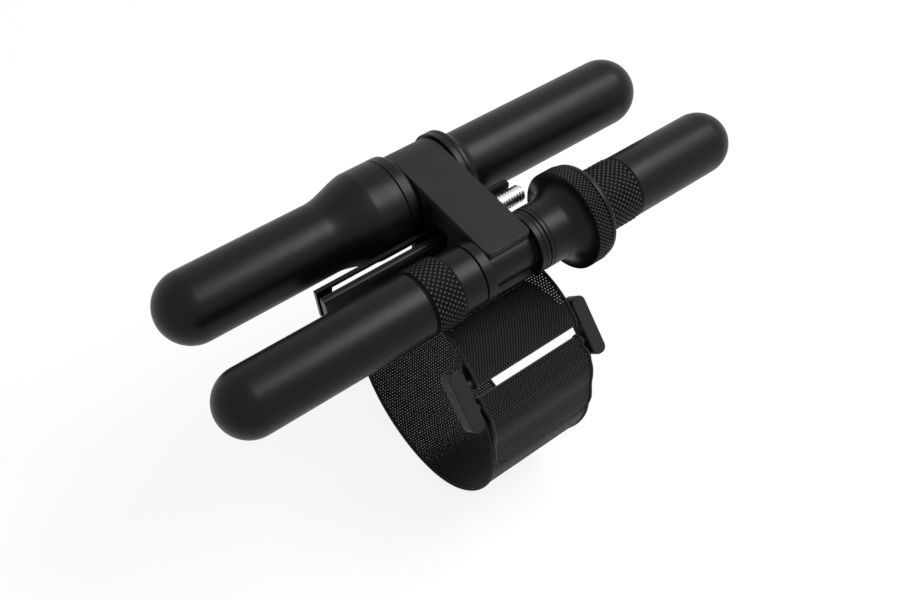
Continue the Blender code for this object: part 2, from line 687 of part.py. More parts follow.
def make_inflator(axis):
    """Head gripped by the clip, with its passage from cartridge socket to chuck."""
    spigot_left = HEAD_LEFT - CANISTER_SPIGOT
    spigot_right = HEAD_RIGHT + COVER_SPIGOT
    groove = HEAD_RIGHT + COVER_SPIGOT / 3
    groove_r = COVER_BORE_R - 2 * SEAT - 2 * SMALL_CORD
    groove_half = SMALL_CORD + SEAT
    outer = [(spigot_right, COVER_SPIGOT_R)]
    outer += [(groove + groove_half, COVER_SPIGOT_R), (groove + groove_half, groove_r)]
    outer += [(groove - groove_half, groove_r), (groove - groove_half, COVER_SPIGOT_R)]
    outer += [(HEAD_RIGHT, COVER_SPIGOT_R), (HEAD_RIGHT, HEAD_FLANGE_R - EDGE_ROUND)]
    outer += [(HEAD_RIGHT - EDGE_ROUND, HEAD_FLANGE_R), (CORE_HALF, HEAD_FLANGE_R)]
    outer += [(CORE_HALF, HEAD_CORE_R), (-CORE_HALF, HEAD_CORE_R)]
    outer += [(-CORE_HALF, HEAD_FLANGE_R), (HEAD_LEFT, HEAD_FLANGE_R)]
    outer += [(HEAD_LEFT, CANISTER_SPIGOT_R), (spigot_left, CANISTER_SPIGOT_R)]
    inner = [(spigot_left, SOCKET_R), (SOCKET_FLOOR, SOCKET_R), (SOCKET_FLOOR, PASSAGE_R)]
    chuck_floor = spigot_right - CHUCK_SOCKET
    inner += [(chuck_floor, PASSAGE_R), (chuck_floor, CHUCK_STEM_R + FIT)]
    inner += [(spigot_right, CHUCK_STEM_R + FIT)]
    turned("inflator_head", anodised("inflator_head"), axis, outer, inner)
    ring_hole = groove_r + SEAT
    o_ring("cover_o_ring", axis, groove, ring_hole, SMALL_CORD, PLAIN)


def make_cartridge(axis):
    """Pierced gas cartridge, with the pierce pin and seal at the socket's floor."""
    pin_floor = SOCKET_FLOOR - SEAT
    seal_right = pin_floor - PIN_BASE - SEAT
    neck_end = seal_right - SEAL_HEIGHT - SEAT
    shoulder = neck_end - CARTRIDGE_NECK
    tail = CANISTER_DOME_X
    outer = [(neck_end, CARTRIDGE_NECK_R)]
    inner = []
    swell = CARTRIDGE_R - CARTRIDGE_NECK_R
    shoulder_steps = 5
    for step in range(shoulder_steps + 1):
        share = step / shoulder_steps
        x = shoulder - CARTRIDGE_SHOULDER * share
        radius = CARTRIDGE_NECK_R + swell * ease(share)
        outer.append((x, radius))
        inner.append((x - CARTRIDGE_WALL * share, radius - CARTRIDGE_WALL))
    outer += arc(tail, 0.0, CARTRIDGE_R, 90, 180, DOME_STEPS)
    inner = arc(tail, 0.0, CARTRIDGE_R - CARTRIDGE_WALL, 180, 90, DOME_STEPS) + list(reversed(inner))
    inner += [(neck_end - CARTRIDGE_WALL, CARTRIDGE_NECK_R - CARTRIDGE_WALL)]
    inner += [(neck_end - CARTRIDGE_WALL, PIN_R), (neck_end, PIN_R)]
    turned("co2_cartridge", steel("co2_cartridge"), axis, outer, inner, PLAIN)
    flange_r = SOCKET_R - FIT
    outer = [(pin_floor, flange_r), (pin_floor - PIN_BASE, flange_r), (pin_floor - PIN_BASE, PIN_R)]
    outer += [(seal_right - SEAL_HEIGHT, PIN_R / 2)]
    inner = [(seal_right - SEAL_HEIGHT, PIN_R / 4), (pin_floor, PIN_R / 4)]
    turned("pierce_pin", steel("pierce_pin"), axis, outer, inner, SMALL)
    outer = [(seal_right, flange_r), (seal_right - SEAL_HEIGHT, flange_r)]
    inner = [(seal_right - SEAL_HEIGHT, PIN_R + FIT), (seal_right, PIN_R + FIT)]
    turned("cartridge_seal", black_rubber("cartridge_seal"), axis, outer, inner, PLAIN)


def make_canister(axis):
    """Left tube with a flared mouth that screws over the head's left spigot."""
    bore = TUBE_R - CANISTER_WALL
    flare_end = FLARE_START + FLARE_LENGTH
    mouth_bore = CANISTER_SPIGOT_R + FIT
    step_x = HEAD_LEFT - CANISTER_SPIGOT - 2 * SEAT
    groove = CANISTER_MOUTH - CANISTER_SPIGOT / 4
    groove_half = BIG_CORD + SEAT
    groove_r = CANISTER_SPIGOT_R + 2 * SEAT + 2 * BIG_CORD
    outer = [(CANISTER_MOUTH, HEAD_FLANGE_R - EDGE_ROUND / 2)]
    outer += [(CANISTER_MOUTH - EDGE_ROUND / 2, HEAD_FLANGE_R), (flare_end, HEAD_FLANGE_R)]
    flare_steps = 7
    for step in range(1, flare_steps):
        share = 1 - step / flare_steps
        outer.append((FLARE_START + FLARE_LENGTH * share, TUBE_R + (HEAD_FLANGE_R - TUBE_R) * ease(share)))
    outer += [(FLARE_START, TUBE_R)]
    outer += arc(CANISTER_DOME_X, 0.0, TUBE_R, 90, 180, DOME_STEPS)
    inner = arc(CANISTER_DOME_X, 0.0, bore, 180, 90, DOME_STEPS)
    inner += [(step_x - (mouth_bore - bore), bore), (step_x, mouth_bore)]
    inner += [(groove - groove_half, mouth_bore), (groove - groove_half, groove_r)]
    inner += [(groove + groove_half, groove_r), (groove + groove_half, mouth_bore)]
    inner += [(CANISTER_MOUTH, mouth_bore)]
    turned("canister", anodised("canister"), axis, outer, inner)
    o_ring("canister_seal", axis, groove, CANISTER_SPIGOT_R + SEAT, BIG_CORD)


def make_nozzle_cover(axis):
    """Right tube that pulls off the chuck."""
    outer = arc(COVER_DOME_X, 0.0, TUBE_R, 0, 90, DOME_STEPS)
    fillet_r = COVER_FOOT_R - TUBE_R
    for step in range(5):
        share = step / 4
        rise = 1 - math.sqrt(1 - share * share)
        outer.append((COVER_MOUTH + COVER_FILLET * (1 - share), TUBE_R + fillet_r * rise))
    inner = [(COVER_MOUTH, COVER_BORE_R)]
    inner += arc(COVER_DOME_X, 0.0, COVER_BORE_R, 90, 0, DOME_STEPS)
    turned("nozzle_cover", anodised("nozzle_cover"), axis, outer, inner)


def make_chuck(axis):
    """Valve chuck in the head's right spigot, with its gasket."""
    stem_end = HEAD_RIGHT + COVER_SPIGOT - CHUCK_SOCKET + SEAT
    shoulder = HEAD_RIGHT + COVER_SPIGOT + SEAT
    face = shoulder + CHUCK_LENGTH
    bore_floor = face - CHUCK_BORE
    outer = [(face, CHUCK_R - 2 * EDGE_ROUND), (face - 2 * EDGE_ROUND, CHUCK_R)]
    outer += [(shoulder, CHUCK_R), (shoulder, CHUCK_STEM_R), (stem_end, CHUCK_STEM_R)]
    inner = [(stem_end, PASSAGE_R), (bore_floor, PASSAGE_R), (bore_floor, CHUCK_BORE_R), (face, CHUCK_BORE_R)]
    turned("valve_chuck", anodised("valve_chuck"), axis, outer, inner, PLAIN)
    gasket_left = bore_floor + SEAT
    gasket_r = CHUCK_BORE_R - SEAT
    outer = [(gasket_left + GASKET_HEIGHT, gasket_r), (gasket_left, gasket_r)]
    inner = [(gasket_left, GASKET_HOLE_R), (gasket_left + GASKET_HEIGHT, GASKET_HOLE_R)]
    turned("chuck_gasket", black_rubber("chuck_gasket"), axis, outer, inner, PLAIN)


def make_handle(axis):
    """Middle of the plug tool, gripped by the clip, with a spigot and a shank bore at each end."""
    spigot_left = HANDLE_LEFT - CAP_SPIGOT
    outer = [(STEM_END, BELL_STEM_R), (HANDLE_RIGHT, BELL_STEM_R), (HANDLE_RIGHT, TOOL_RING_R)]
    outer += [(CORE_HALF, TOOL_RING_R), (CORE_HALF, TOOL_CORE_R)]
    outer += [(-CORE_HALF, TOOL_CORE_R), (-CORE_HALF, TOOL_RING_R), (HANDLE_LEFT, TOOL_RING_R)]
    outer += [(HANDLE_LEFT, CAP_SPIGOT_R), (spigot_left, CAP_SPIGOT_R)]
    outer += [(spigot_left, SHANK_BORE_R), (spigot_left + SHANK_DEPTH, SHANK_BORE_R)]
    outer += [(spigot_left + SHANK_DEPTH, 0.0)]
    inner = [(STEM_END - SHANK_DEPTH, 0.0), (STEM_END - SHANK_DEPTH, SHANK_BORE_R), (STEM_END, SHANK_BORE_R)]
    turned("tool_handle", anodised("tool_handle"), axis, outer, inner)


def make_bell(axis):
    """Flared hand guard with a spigot for the plug cap."""
    body_end = BELL_LEFT + BELL_BODY
    rim_left = body_end + BELL_FLARE
    rim_right = rim_left + BELL_RIM
    bore = BELL_STEM_R + FIT
    lip_r = BELL_RIM_R - EDGE_ROUND
    outer = [(STEM_END - SEAT, CAP_SPIGOT_R), (BELL_FACE, CAP_SPIGOT_R)]
    outer += [(BELL_FACE, lip_r - BELL_LIP / 2), (BELL_FACE - BELL_LIP / 2, lip_r), (rim_right, lip_r)]
    outer += [(rim_right, BELL_RIM_R), (rim_left, BELL_RIM_R)]
    flare_r = BELL_RIM_R - BELL_R
    flare_steps = 6
    for step in range(1, flare_steps + 1):
        angle = math.pi / 2 * (1 - step / flare_steps)
        outer.append((body_end + BELL_FLARE * math.sin(angle), BELL_RIM_R - flare_r * math.cos(angle)))
    outer += [(BELL_LEFT, BELL_R)]
    inner = [(BELL_LEFT, bore), (STEM_END - SEAT, bore)]
    turned("guard_bell", anodised("guard_bell"), axis, outer, inner)


def cap_groove(mouth, side):
    """Inner points of a cap's O-ring groove near its mouth, from the mouth inwards."""
    bore = CAP_SPIGOT_R + FIT
    deep = CAP_SPIGOT_R + 2 * SEAT + 2 * SMALL_CORD
    half = SMALL_CORD + SEAT
    groove = mouth + side * CAP_SPIGOT / 4
    points = [(mouth, bore), (groove - side * half, bore), (groove - side * half, deep)]
    points += [(groove + side * half, deep), (groove + side * half, bore)]
    return points, groove


def make_reamer_cap(axis):
    """Left cap with a knurled grip over the reamer."""
    knurl_right = REAMER_CAP_MOUTH - REAMER_CAP_LIP
    knurl_left = knurl_right - REAMER_KNURL
    points, groove = cap_groove(REAMER_CAP_MOUTH, -1)
    outer = [(REAMER_CAP_MOUTH, REAMER_CAP_LIP_R), (knurl_right, REAMER_CAP_LIP_R)]
    outer += [(knurl_right, KNURL_R), (knurl_left, KNURL_R), (knurl_left, CAP_R)]
    outer += arc(REAMER_CAP_DOME_X, 0.0, CAP_R, 90, 180, DOME_STEPS)
    step_x = HANDLE_LEFT - CAP_SPIGOT - COLLET_HEIGHT
    inner = arc(REAMER_CAP_DOME_X, 0.0, CAP_BORE_R, 180, 90, DOME_STEPS)
    inner += [(step_x - CAP_WALL, CAP_BORE_R), (step_x, CAP_SPIGOT_R + FIT)]
    inner += list(reversed(points))
    turned("reamer_cap", anodised("reamer_cap"), axis, outer, inner)
    o_ring("reamer_cap_seal", axis, groove, CAP_SPIGOT_R + SEAT, SMALL_CORD, PLAIN)


def make_plug_cap(axis):
    """Right cap with a knurled grip over the plug fork."""
    knurl_right = PLUG_CAP_MOUTH + PLUG_KNURL
    points, groove = cap_groove(PLUG_CAP_MOUTH, 1)
    outer = arc(PLUG_CAP_DOME_X, 0.0, CAP_R, 0, 90, DOME_STEPS)
    outer += [(knurl_right, CAP_R), (knurl_right, KNURL_R), (PLUG_CAP_MOUTH, KNURL_R)]
    step_x = STEM_END + COLLET_HEIGHT
    inner = list(points)
    inner += [(step_x, CAP_SPIGOT_R + FIT), (step_x + CAP_WALL, CAP_BORE_R)]
    inner += arc(PLUG_CAP_DOME_X, 0.0, CAP_BORE_R, 90, 0, DOME_STEPS)
    turned("plug_cap", anodised("plug_cap"), axis, outer, inner)
    o_ring("plug_cap_seal", axis, groove, CAP_SPIGOT_R + SEAT, SMALL_CORD, PLAIN)


def make_collet(name, axis, face, side):
    """Ring that locks a tool's shank at the end of its bore."""
    near = face + side * SEAT
    far = near + side * COLLET_HEIGHT
    right = max(near, far)
    left = min(near, far)
    outer = [(right, COLLET_R), (left, COLLET_R)]
    inner = [(left, SHANK_BORE_R), (right, SHANK_BORE_R)]
    turned(name, steel(name), axis, outer, inner, PLAIN)


def make_reamer(axis):
    """Tapered rasp that opens the puncture."""
    spigot_left = HANDLE_LEFT - CAP_SPIGOT
    root_x = spigot_left + SHANK_DEPTH - SEAT
    tip = spigot_left - REAMER_LENGTH + SHANK_DEPTH
    outer = [(root_x, 0.0), (root_x, REAMER_R), (tip + REAMER_POINT, REAMER_R)]
    outer += [(tip + REAMER_POINT / 2, REAMER_R * 0.7), (tip, 0.0)]
    turned("reamer", steel("reamer"), axis, outer, segments=SMALL)
    make_collet("reamer_collet", axis, spigot_left, -1)


def make_fork(axis):
    """Split needle that carries a tyre plug."""
    root_x = STEM_END - SHANK_DEPTH + SEAT
    tip = root_x + FORK_LENGTH
    eye_left = tip - FORK_EYE
    outer = [(tip, 0.0), (tip, FORK_HEAD_R * 0.8), (tip - FORK_EYE / 4, FORK_HEAD_R)]
    outer += [(eye_left - FORK_HEAD_R, FORK_HEAD_R), (eye_left - 3 * FORK_HEAD_R, FORK_SHANK_R)]
    outer += [(root_x, FORK_SHANK_R), (root_x, 0.0)]
    obj = turned("plug_fork", steel("plug_fork"), axis, outer, segments=SMALL)
    depth = 2 * FORK_HEAD_R
    eye = box_mesh("fork_eye", (-depth, -FORK_SLOT / 2, eye_left), (depth, FORK_SLOT / 2, tip + FORK_EYE))
    combine(obj, eye, "DIFFERENCE")
    make_collet("plug_collet", axis, STEM_END, 1)
    return eye_left


def make_plug(axis, eye_left):
    """Rubber tyre plug, folded through the fork's eye."""
    spread = FORK_HEAD_R + PLUG_R + SEAT
    inside = math.sqrt((spread - PLUG_R) ** 2 - FORK_HEAD_R ** 2)
    bend = eye_left + spread - inside + SEAT
    points = [Vector((bend - PLUG_LENGTH, 0.0, -spread))]
    turn_steps = 10
    for step in range(turn_steps + 1):
        angle = math.pi * step / turn_steps - math.pi / 2
        points.append(Vector((bend - spread + spread * math.cos(angle), 0.0, spread * math.sin(angle))))
    points.append(Vector((bend - PLUG_LENGTH, 0.0, spread)))
    curve = bpy.data.curves.new("plug_strip", "CURVE")
    curve.dimensions = "3D"
    curve.bevel_depth = PLUG_R
    curve.bevel_resolution = 2
    curve.use_fill_caps = True
    spline = curve.splines.new("POLY")
    spline.points.add(len(points) - 1)
    for point, place in zip(spline.points, points):
        point.co = (*place, 1.0)
    obj = bpy.data.objects.new("plug_strip", curve)
    parts.objects.link(obj)
    curve.materials.append(black_rubber("plug_strip"))
    obj.parent = axis
    return obj


def build():
    """Make every piece in its place."""
    global parts, cutters
    clear_scene()
    parts = make_collection("tyre_repair_kit")
    cutters = make_collection("cutters")
    root = add_empty("carrier_root", (0.0, 0.0, 0.0))
    make_carrier(root)
    make_plate(root)
    make_pad(root)
    make_rail(root)
    make_stud(root)
    make_strap(root)
    make_buckle(root)
    inflator_axis = add_empty("inflator_axis", (0.0, INFLATOR_Y, INFLATOR_Z), root)
    make_inflator(inflator_axis)
    make_cartridge(inflator_axis)
    make_canister(inflator_axis)
    make_nozzle_cover(inflator_axis)
    make_chuck(inflator_axis)
    tool_axis = add_empty("tool_axis", (0.0, TOOL_Y, TOOL_Z), root)
    make_handle(tool_axis)
    make_bell(tool_axis)
    make_reamer_cap(tool_axis)
    make_plug_cap(tool_axis)
    make_reamer(tool_axis)
    eye_left = make_fork(tool_axis)
    make_plug(tool_axis, eye_left)


build()
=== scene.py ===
"""Looks of the strap-on tyre inflation and repair kit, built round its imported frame."""
import math

import bmesh
import bpy
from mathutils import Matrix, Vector


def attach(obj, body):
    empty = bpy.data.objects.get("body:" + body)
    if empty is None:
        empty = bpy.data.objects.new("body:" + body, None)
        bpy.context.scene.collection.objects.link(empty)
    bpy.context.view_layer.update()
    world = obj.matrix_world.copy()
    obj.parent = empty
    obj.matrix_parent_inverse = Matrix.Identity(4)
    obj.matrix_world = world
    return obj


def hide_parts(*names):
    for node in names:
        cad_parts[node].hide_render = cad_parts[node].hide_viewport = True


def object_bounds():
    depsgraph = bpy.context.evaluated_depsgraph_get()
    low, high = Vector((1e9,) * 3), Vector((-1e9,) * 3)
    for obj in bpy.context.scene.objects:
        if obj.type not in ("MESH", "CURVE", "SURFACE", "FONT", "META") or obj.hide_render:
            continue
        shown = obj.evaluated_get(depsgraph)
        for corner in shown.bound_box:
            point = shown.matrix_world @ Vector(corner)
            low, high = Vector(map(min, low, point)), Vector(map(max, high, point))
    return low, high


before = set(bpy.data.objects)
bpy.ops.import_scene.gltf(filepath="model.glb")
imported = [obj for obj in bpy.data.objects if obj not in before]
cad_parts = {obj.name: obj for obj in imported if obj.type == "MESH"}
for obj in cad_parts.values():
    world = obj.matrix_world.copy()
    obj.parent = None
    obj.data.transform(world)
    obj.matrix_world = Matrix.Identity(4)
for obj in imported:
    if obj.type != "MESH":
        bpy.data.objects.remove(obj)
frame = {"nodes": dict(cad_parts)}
cad_low, cad_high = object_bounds()

MM = 0.001                    # sizes are in millimetres up to the studio, which is in metres
INFLATOR = (19.55, 22.0)      # y and z of the axis of each tube and of the stud
TOOL = (-19.55, 25.45)
STUD = (-0.85, 22.6)
TUBE_R = 11.5                 # outside of the inflator's tubes
CAP_R = 10.5                  # outside of the plug tool's caps
CAP_BORE = 8.9                # inside of the caps
CAP_MOUTH = 7.25              # inside of their mouths
CORE = 8.8                    # half the length of each core that turns in its clip
SPIGOT_R = 6.5                # the plug tool's spigots
ROUND = 144                   # facets round a tube
POINT = 1e-4                  # a smaller radius is a point on the axis
MERGE = 0.0005                # vertices closer than this become one
SPECK = 0.0002                # edges shorter than this are dissolved


# Materials

NOISE_LOW, NOISE_HIGH = 0.3, 0.7      # the stretch of a noise's range that colour and roughness follow


def grey(level):
    """A neutral colour."""
    return (level, level, level)


def surface(name, colour, roughness, metallic=0.0, specular=0.5):
    """A material with its Principled shader and an object-space coordinate."""
    mat = bpy.data.materials.new(name)
    mat.use_nodes = True
    nodes = mat.node_tree.nodes
    shader = nodes["Principled BSDF"]
    shader.inputs["Base Color"].default_value = (*colour, 1.0)
    shader.inputs["Roughness"].default_value = roughness
    shader.inputs["Metallic"].default_value = metallic
    shader.inputs["Specular IOR Level"].default_value = specular
    place = nodes.new("ShaderNodeTexCoord")
    return mat, shader, place.outputs["Object"]


def noise(mat, place, scale, detail=2.0, stretch=None):
    """Noise at a coordinate; stretch squeezes it along each axis."""
    nodes, links = mat.node_tree.nodes, mat.node_tree.links
    if stretch:
        mapping = nodes.new("ShaderNodeMapping")
        mapping.inputs["Scale"].default_value = stretch
        links.new(place, mapping.inputs["Vector"])
        place = mapping.outputs["Vector"]
    texture = nodes.new("ShaderNodeTexNoise")
    texture.inputs["Scale"].default_value = scale
    texture.inputs["Detail"].default_value = detail
    links.new(place, texture.inputs["Vector"])
    return texture.outputs["Fac"]


def combined(owner, operation, *values):
    """The result of a math node on sockets and plain numbers."""
    node = owner.node_tree.nodes.new("ShaderNodeMath")
    node.operation = operation
    for socket, value in zip(node.inputs, values):
        if isinstance(value, float):
            socket.default_value = value
        else:
            owner.node_tree.links.new(value, socket)
    return node.outputs["Value"]


def wave(mat, value, shift):
    """Cosine of half a turn for each cell of the cloth."""
    turn = combined(mat, "MULTIPLY_ADD", value, math.pi, shift * math.pi)
    return combined(mat, "COSINE", turn)


def tint(mat, shader, value, dark, light, low=NOISE_LOW, high=NOISE_HIGH):
    """Vary the colour between two colours."""
    nodes, links = mat.node_tree.nodes, mat.node_tree.links
    ramp = nodes.new("ShaderNodeValToRGB")
    for element, position, colour in zip(ramp.color_ramp.elements, (low, high), (dark, light)):
        element.position = position
        element.color = (*colour, 1.0)
    links.new(value, ramp.inputs["Fac"])
    links.new(ramp.outputs["Color"], shader.inputs["Base Color"])


def roughen(mat, shader, value, low, high):
    """Vary the roughness between two values."""
    nodes, links = mat.node_tree.nodes, mat.node_tree.links
    remap = nodes.new("ShaderNodeMapRange")
    remap.inputs["From Min"].default_value = NOISE_LOW
    remap.inputs["From Max"].default_value = NOISE_HIGH
    remap.inputs["To Min"].default_value = low
    remap.inputs["To Max"].default_value = high
    links.new(value, remap.inputs["Value"])
    links.new(remap.outputs["Result"], shader.inputs["Roughness"])


def bump(mat, shader, value, strength, depth):
    """Raise the surface by a texture, depth in millimetres."""
    nodes, links = mat.node_tree.nodes, mat.node_tree.links
    raised = nodes.new("ShaderNodeBump")
    raised.inputs["Strength"].default_value = strength
    raised.inputs["Distance"].default_value = depth * MM
    links.new(value, raised.inputs["Height"])
    links.new(raised.outputs["Normal"], shader.inputs["Normal"])


def anodised(name, level, roughness, specular):
    """Black anodised aluminium, bead blasted."""
    mat, shader, place = surface(name, grey(level), roughness, specular=specular)
    tint(mat, shader, noise(mat, place, scale=70.0, detail=4.0), grey(level * 0.86), grey(level * 1.14))
    roughen(mat, shader, noise(mat, place, scale=240.0, detail=5.0), roughness - 0.025, roughness + 0.025)
    bump(mat, shader, noise(mat, place, scale=5200.0), strength=0.10, depth=0.05)
    return mat


def moulded():
    """Black glass-filled plastic with a spark-eroded grain."""
    mat, shader, place = surface("black_plastic", grey(0.0135), roughness=0.5, specular=0.16)
    tint(mat, shader, noise(mat, place, scale=110.0, detail=4.0), grey(0.0118), (0.0152, 0.0152, 0.0154))
    roughen(mat, shader, noise(mat, place, scale=420.0, detail=4.0), 0.46, 0.58)
    bump(mat, shader, noise(mat, place, scale=2600.0, detail=3.0), strength=0.18, depth=0.08)
    return mat


def rubber():
    """Matt black rubber with a dusty bloom."""
    mat, shader, place = surface("black_rubber", grey(0.012), roughness=0.8, specular=0.2)
    tint(mat, shader, noise(mat, place, scale=160.0, detail=6.0), grey(0.009), (0.019, 0.019, 0.0185),
         low=0.35, high=0.75)
    roughen(mat, shader, noise(mat, place, scale=500.0, detail=4.0), 0.72, 0.9)
    bump(mat, shader, noise(mat, place, scale=1900.0, detail=3.0), strength=0.2, depth=0.1)
    return mat


def steel(name, colour, roughness, stretch):
    """Plated steel with fine turning marks."""
    mat, shader, place = surface(name, colour, roughness, metallic=1.0)
    dark = tuple(part * 0.86 for part in colour)
    tint(mat, shader, noise(mat, place, scale=300.0, detail=3.0), dark, colour)
    marks = noise(mat, place, scale=1.0, stretch=stretch)
    roughen(mat, shader, marks, roughness * 0.75, roughness * 1.3)
    bump(mat, shader, marks, strength=0.08, depth=0.02)
    return mat


def webbing():
    """Black knitted webbing: the yarn crests painted lighter as a painted highlight, the openings between
    them painted dark as painted shade.
    """
    mat, shader, place = surface("webbing", grey(0.01), roughness=0.75, specular=0.02)
    shader.inputs["Sheen Weight"].default_value = 0.17
    shader.inputs["Sheen Roughness"].default_value = 0.4
    nodes, links = mat.node_tree.nodes, mat.node_tree.links
    cloth = nodes.new("ShaderNodeUVMap")
    cloth.uv_map = "cloth"
    split = nodes.new("ShaderNodeSeparateXYZ")
    links.new(cloth.outputs["UV"], split.inputs["Vector"])
    across = wave(mat, split.outputs["X"], shift=-1.0)
    along = wave(mat, split.outputs["Y"], shift=-0.5)
    lattice = combined(mat, "MULTIPLY", across, along)
    # Painted highlight on the yarn crests and painted shade in the knit's openings, from the lattice.
    knit_painted_light = combined(mat, "MULTIPLY_ADD", lattice, -0.5, 0.5)
    fibre = noise(mat, cloth.outputs["UV"], scale=1.6, detail=3.0, stretch=(1.0, 2.0, 1.0))
    height = combined(mat, "MULTIPLY_ADD", knit_painted_light, 0.6, combined(mat, "MULTIPLY", fibre, 0.4))
    # The colour follows the knit's painted light and shade, with random fibre tone on top.
    tint(mat, shader, height, grey(0.0005), (0.032, 0.032, 0.0315), low=0.3, high=0.75)
    roughen(mat, shader, noise(mat, place, scale=700.0, detail=4.0), 0.6, 0.82)
    bump(mat, shader, height, strength=0.5, depth=0.25)
    return mat


def thread_yarn():
    """Sewing thread with its twist."""
    mat, shader, place = surface("sewing_thread", (0.02, 0.02, 0.021), roughness=0.6, specular=0.4)
    twist = noise(mat, place, scale=1.0, stretch=(900.0, 2600.0, 2600.0))
    tint(mat, shader, twist, (0.012, 0.012, 0.0125), (0.04, 0.04, 0.041))
    bump(mat, shader, twist, strength=0.4, depth=0.06)
    return mat


ANODISED = anodised("black_anodised", level=0.002, roughness=0.38, specular=0.165)
# The knurl's flanks get a duller, less reflective finish: painted shade in the grooves.
PAINTED_GROOVE_SHADE = anodised("knurl_groove_painted_shade", level=0.0022, roughness=0.5, specular=0.07)
# The knurl's tips get a lighter colour: partly worn anodising, partly a painted highlight.
TIP_WEAR_AND_HIGHLIGHT = anodised("knurl_tip_wear_and_painted_highlight", level=0.032, roughness=0.42, specular=0.25)
PLASTIC = moulded()
RUBBER = rubber()
CHROME = steel("chrome_plate", (0.78, 0.78, 0.79), roughness=0.3, stretch=(2500.0, 60.0, 60.0))
PLATED = steel("zinc_plate", (0.55, 0.55, 0.56), roughness=0.32, stretch=(1800.0, 90.0, 90.0))
WEBBING = webbing()
THREAD = thread_yarn()


# Shapes

GROOVE_SHADE_INDEX, TIP_WEAR_AND_HIGHLIGHT_INDEX = 1, 2       # their places among an anodised piece's materials: the knurl's duller groove finish, which is painted shade, and its lighter tips, which are partly wear and partly a painted highlight


def piece(name, mesh, mat, body, nodes=(), soften=True):
    """Put a mesh in the scene on a CAD body, in place of CAD nodes."""
    mesh.name = name
    obj = bpy.data.objects.new(name, mesh)
    bpy.context.scene.collection.objects.link(obj)
    # Anodised pieces also carry the knurl's painted groove shade and its lighter tips (wear and painted
    # highlight).
    for finish in (mat, PAINTED_GROOVE_SHADE, TIP_WEAR_AND_HIGHLIGHT) if mat is ANODISED else (mat,):
        mesh.materials.append(finish)
    if soften:
        weighted = obj.modifiers.new("even_normals", "WEIGHTED_NORMAL")
        weighted.weight = 60
    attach(obj, body)
    if nodes:
        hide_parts(*nodes)
    return obj


def to_mesh(edit):
    """Turn edit data in millimetres into a smooth mesh in metres."""
    bmesh.ops.remove_doubles(edit, verts=edit.verts, dist=MERGE)
    bmesh.ops.dissolve_degenerate(edit, edges=edit.edges, dist=SPECK)
    for vert in edit.verts:
        vert.co *= MM
    edit.normal_update()
    bmesh.ops.recalc_face_normals(edit, faces=edit.faces)
    facet = edit.faces.layers.int.get("facet")
    for face in edit.faces:
        face.smooth = not (facet and face[facet])
    mesh = bpy.data.meshes.new("piece")
    edit.to_mesh(mesh)
    edit.free()
    return mesh


def arc(x, r, radius, start, end, steps=24):
    """Points on an arc, angles in degrees."""
    points = []
    for step in range(steps + 1):
        angle = math.radians(start + (end - start) * step / steps)
        points.append((x + radius * math.cos(angle), max(0.0, r + radius * math.sin(angle))))
    return points


def eased(points, radius):
    """Round every real corner of a profile by a small radius."""
    steps, least_turn, most_of_side = 3, math.radians(20), 0.45
    out = []
    last = len(points) - 1
    for index, here in enumerate(points):
        here = Vector(here)
        if index in (0, last):
            out.append(tuple(here))
            continue
        back = Vector(points[index - 1]) - here
        ahead = Vector(points[index + 1]) - here
        if min(back.length, ahead.length) < 1e-6:
            continue
        if back.angle(-ahead) < least_turn:
            out.append(tuple(here))
            continue
        reach = min(radius, back.length * most_of_side, ahead.length * most_of_side)
        first = here + back.normalized() * reach
        second = here + ahead.normalized() * reach
        for step in range(steps + 1):
            t = step / steps
            out.append(tuple(first * (1 - t) ** 2 + here * 2 * t * (1 - t) + second * t ** 2))
    return out


def ease(value):
    """Smooth step from 0 to 1."""
    value = min(1.0, max(0.0, value))
    return value * value * (3 - 2 * value)


def round_point(axis, x, radius, angle):
    """A point at an angle round an axis that runs along X."""
    return Vector((x, axis[0] + radius * math.sin(angle), axis[1] + radius * math.cos(angle)))


def lathe(edit, axis, profile, segments=ROUND, closed=False):
    """Turn a profile of (x, radius) about an axis along X."""
    rings = []
    for x, radius in profile:
        if radius < POINT:
            rings.append([edit.verts.new(round_point(axis, x, 0.0, 0.0))] * segments)
        else:
            ring = [edit.verts.new(round_point(axis, x, radius, 2 * math.pi * k / segments))
                    for k in range(segments)]
            rings.append(ring)
    pairs = list(zip(rings, rings[1:]))
    if closed:
        pairs.append((rings[-1], rings[0]))
    for one, two in pairs:
        for k in range(segments):
            nxt = (k + 1) % segments
            corners = []
            for vert in (one[k], one[nxt], two[nxt], two[k]):
                if vert not in corners:
                    corners.append(vert)
            if len(corners) > 2:
                edit.faces.new(corners)


def join_rings(edit, rings):
    """Faces between closed rings of as many vertices each."""
    count = len(rings[0])
    for one, two in zip(rings, rings[1:]):
        for k in range(count):
            nxt = (k + 1) % count
            edit.faces.new((one[k], one[nxt], two[nxt], two[k]))


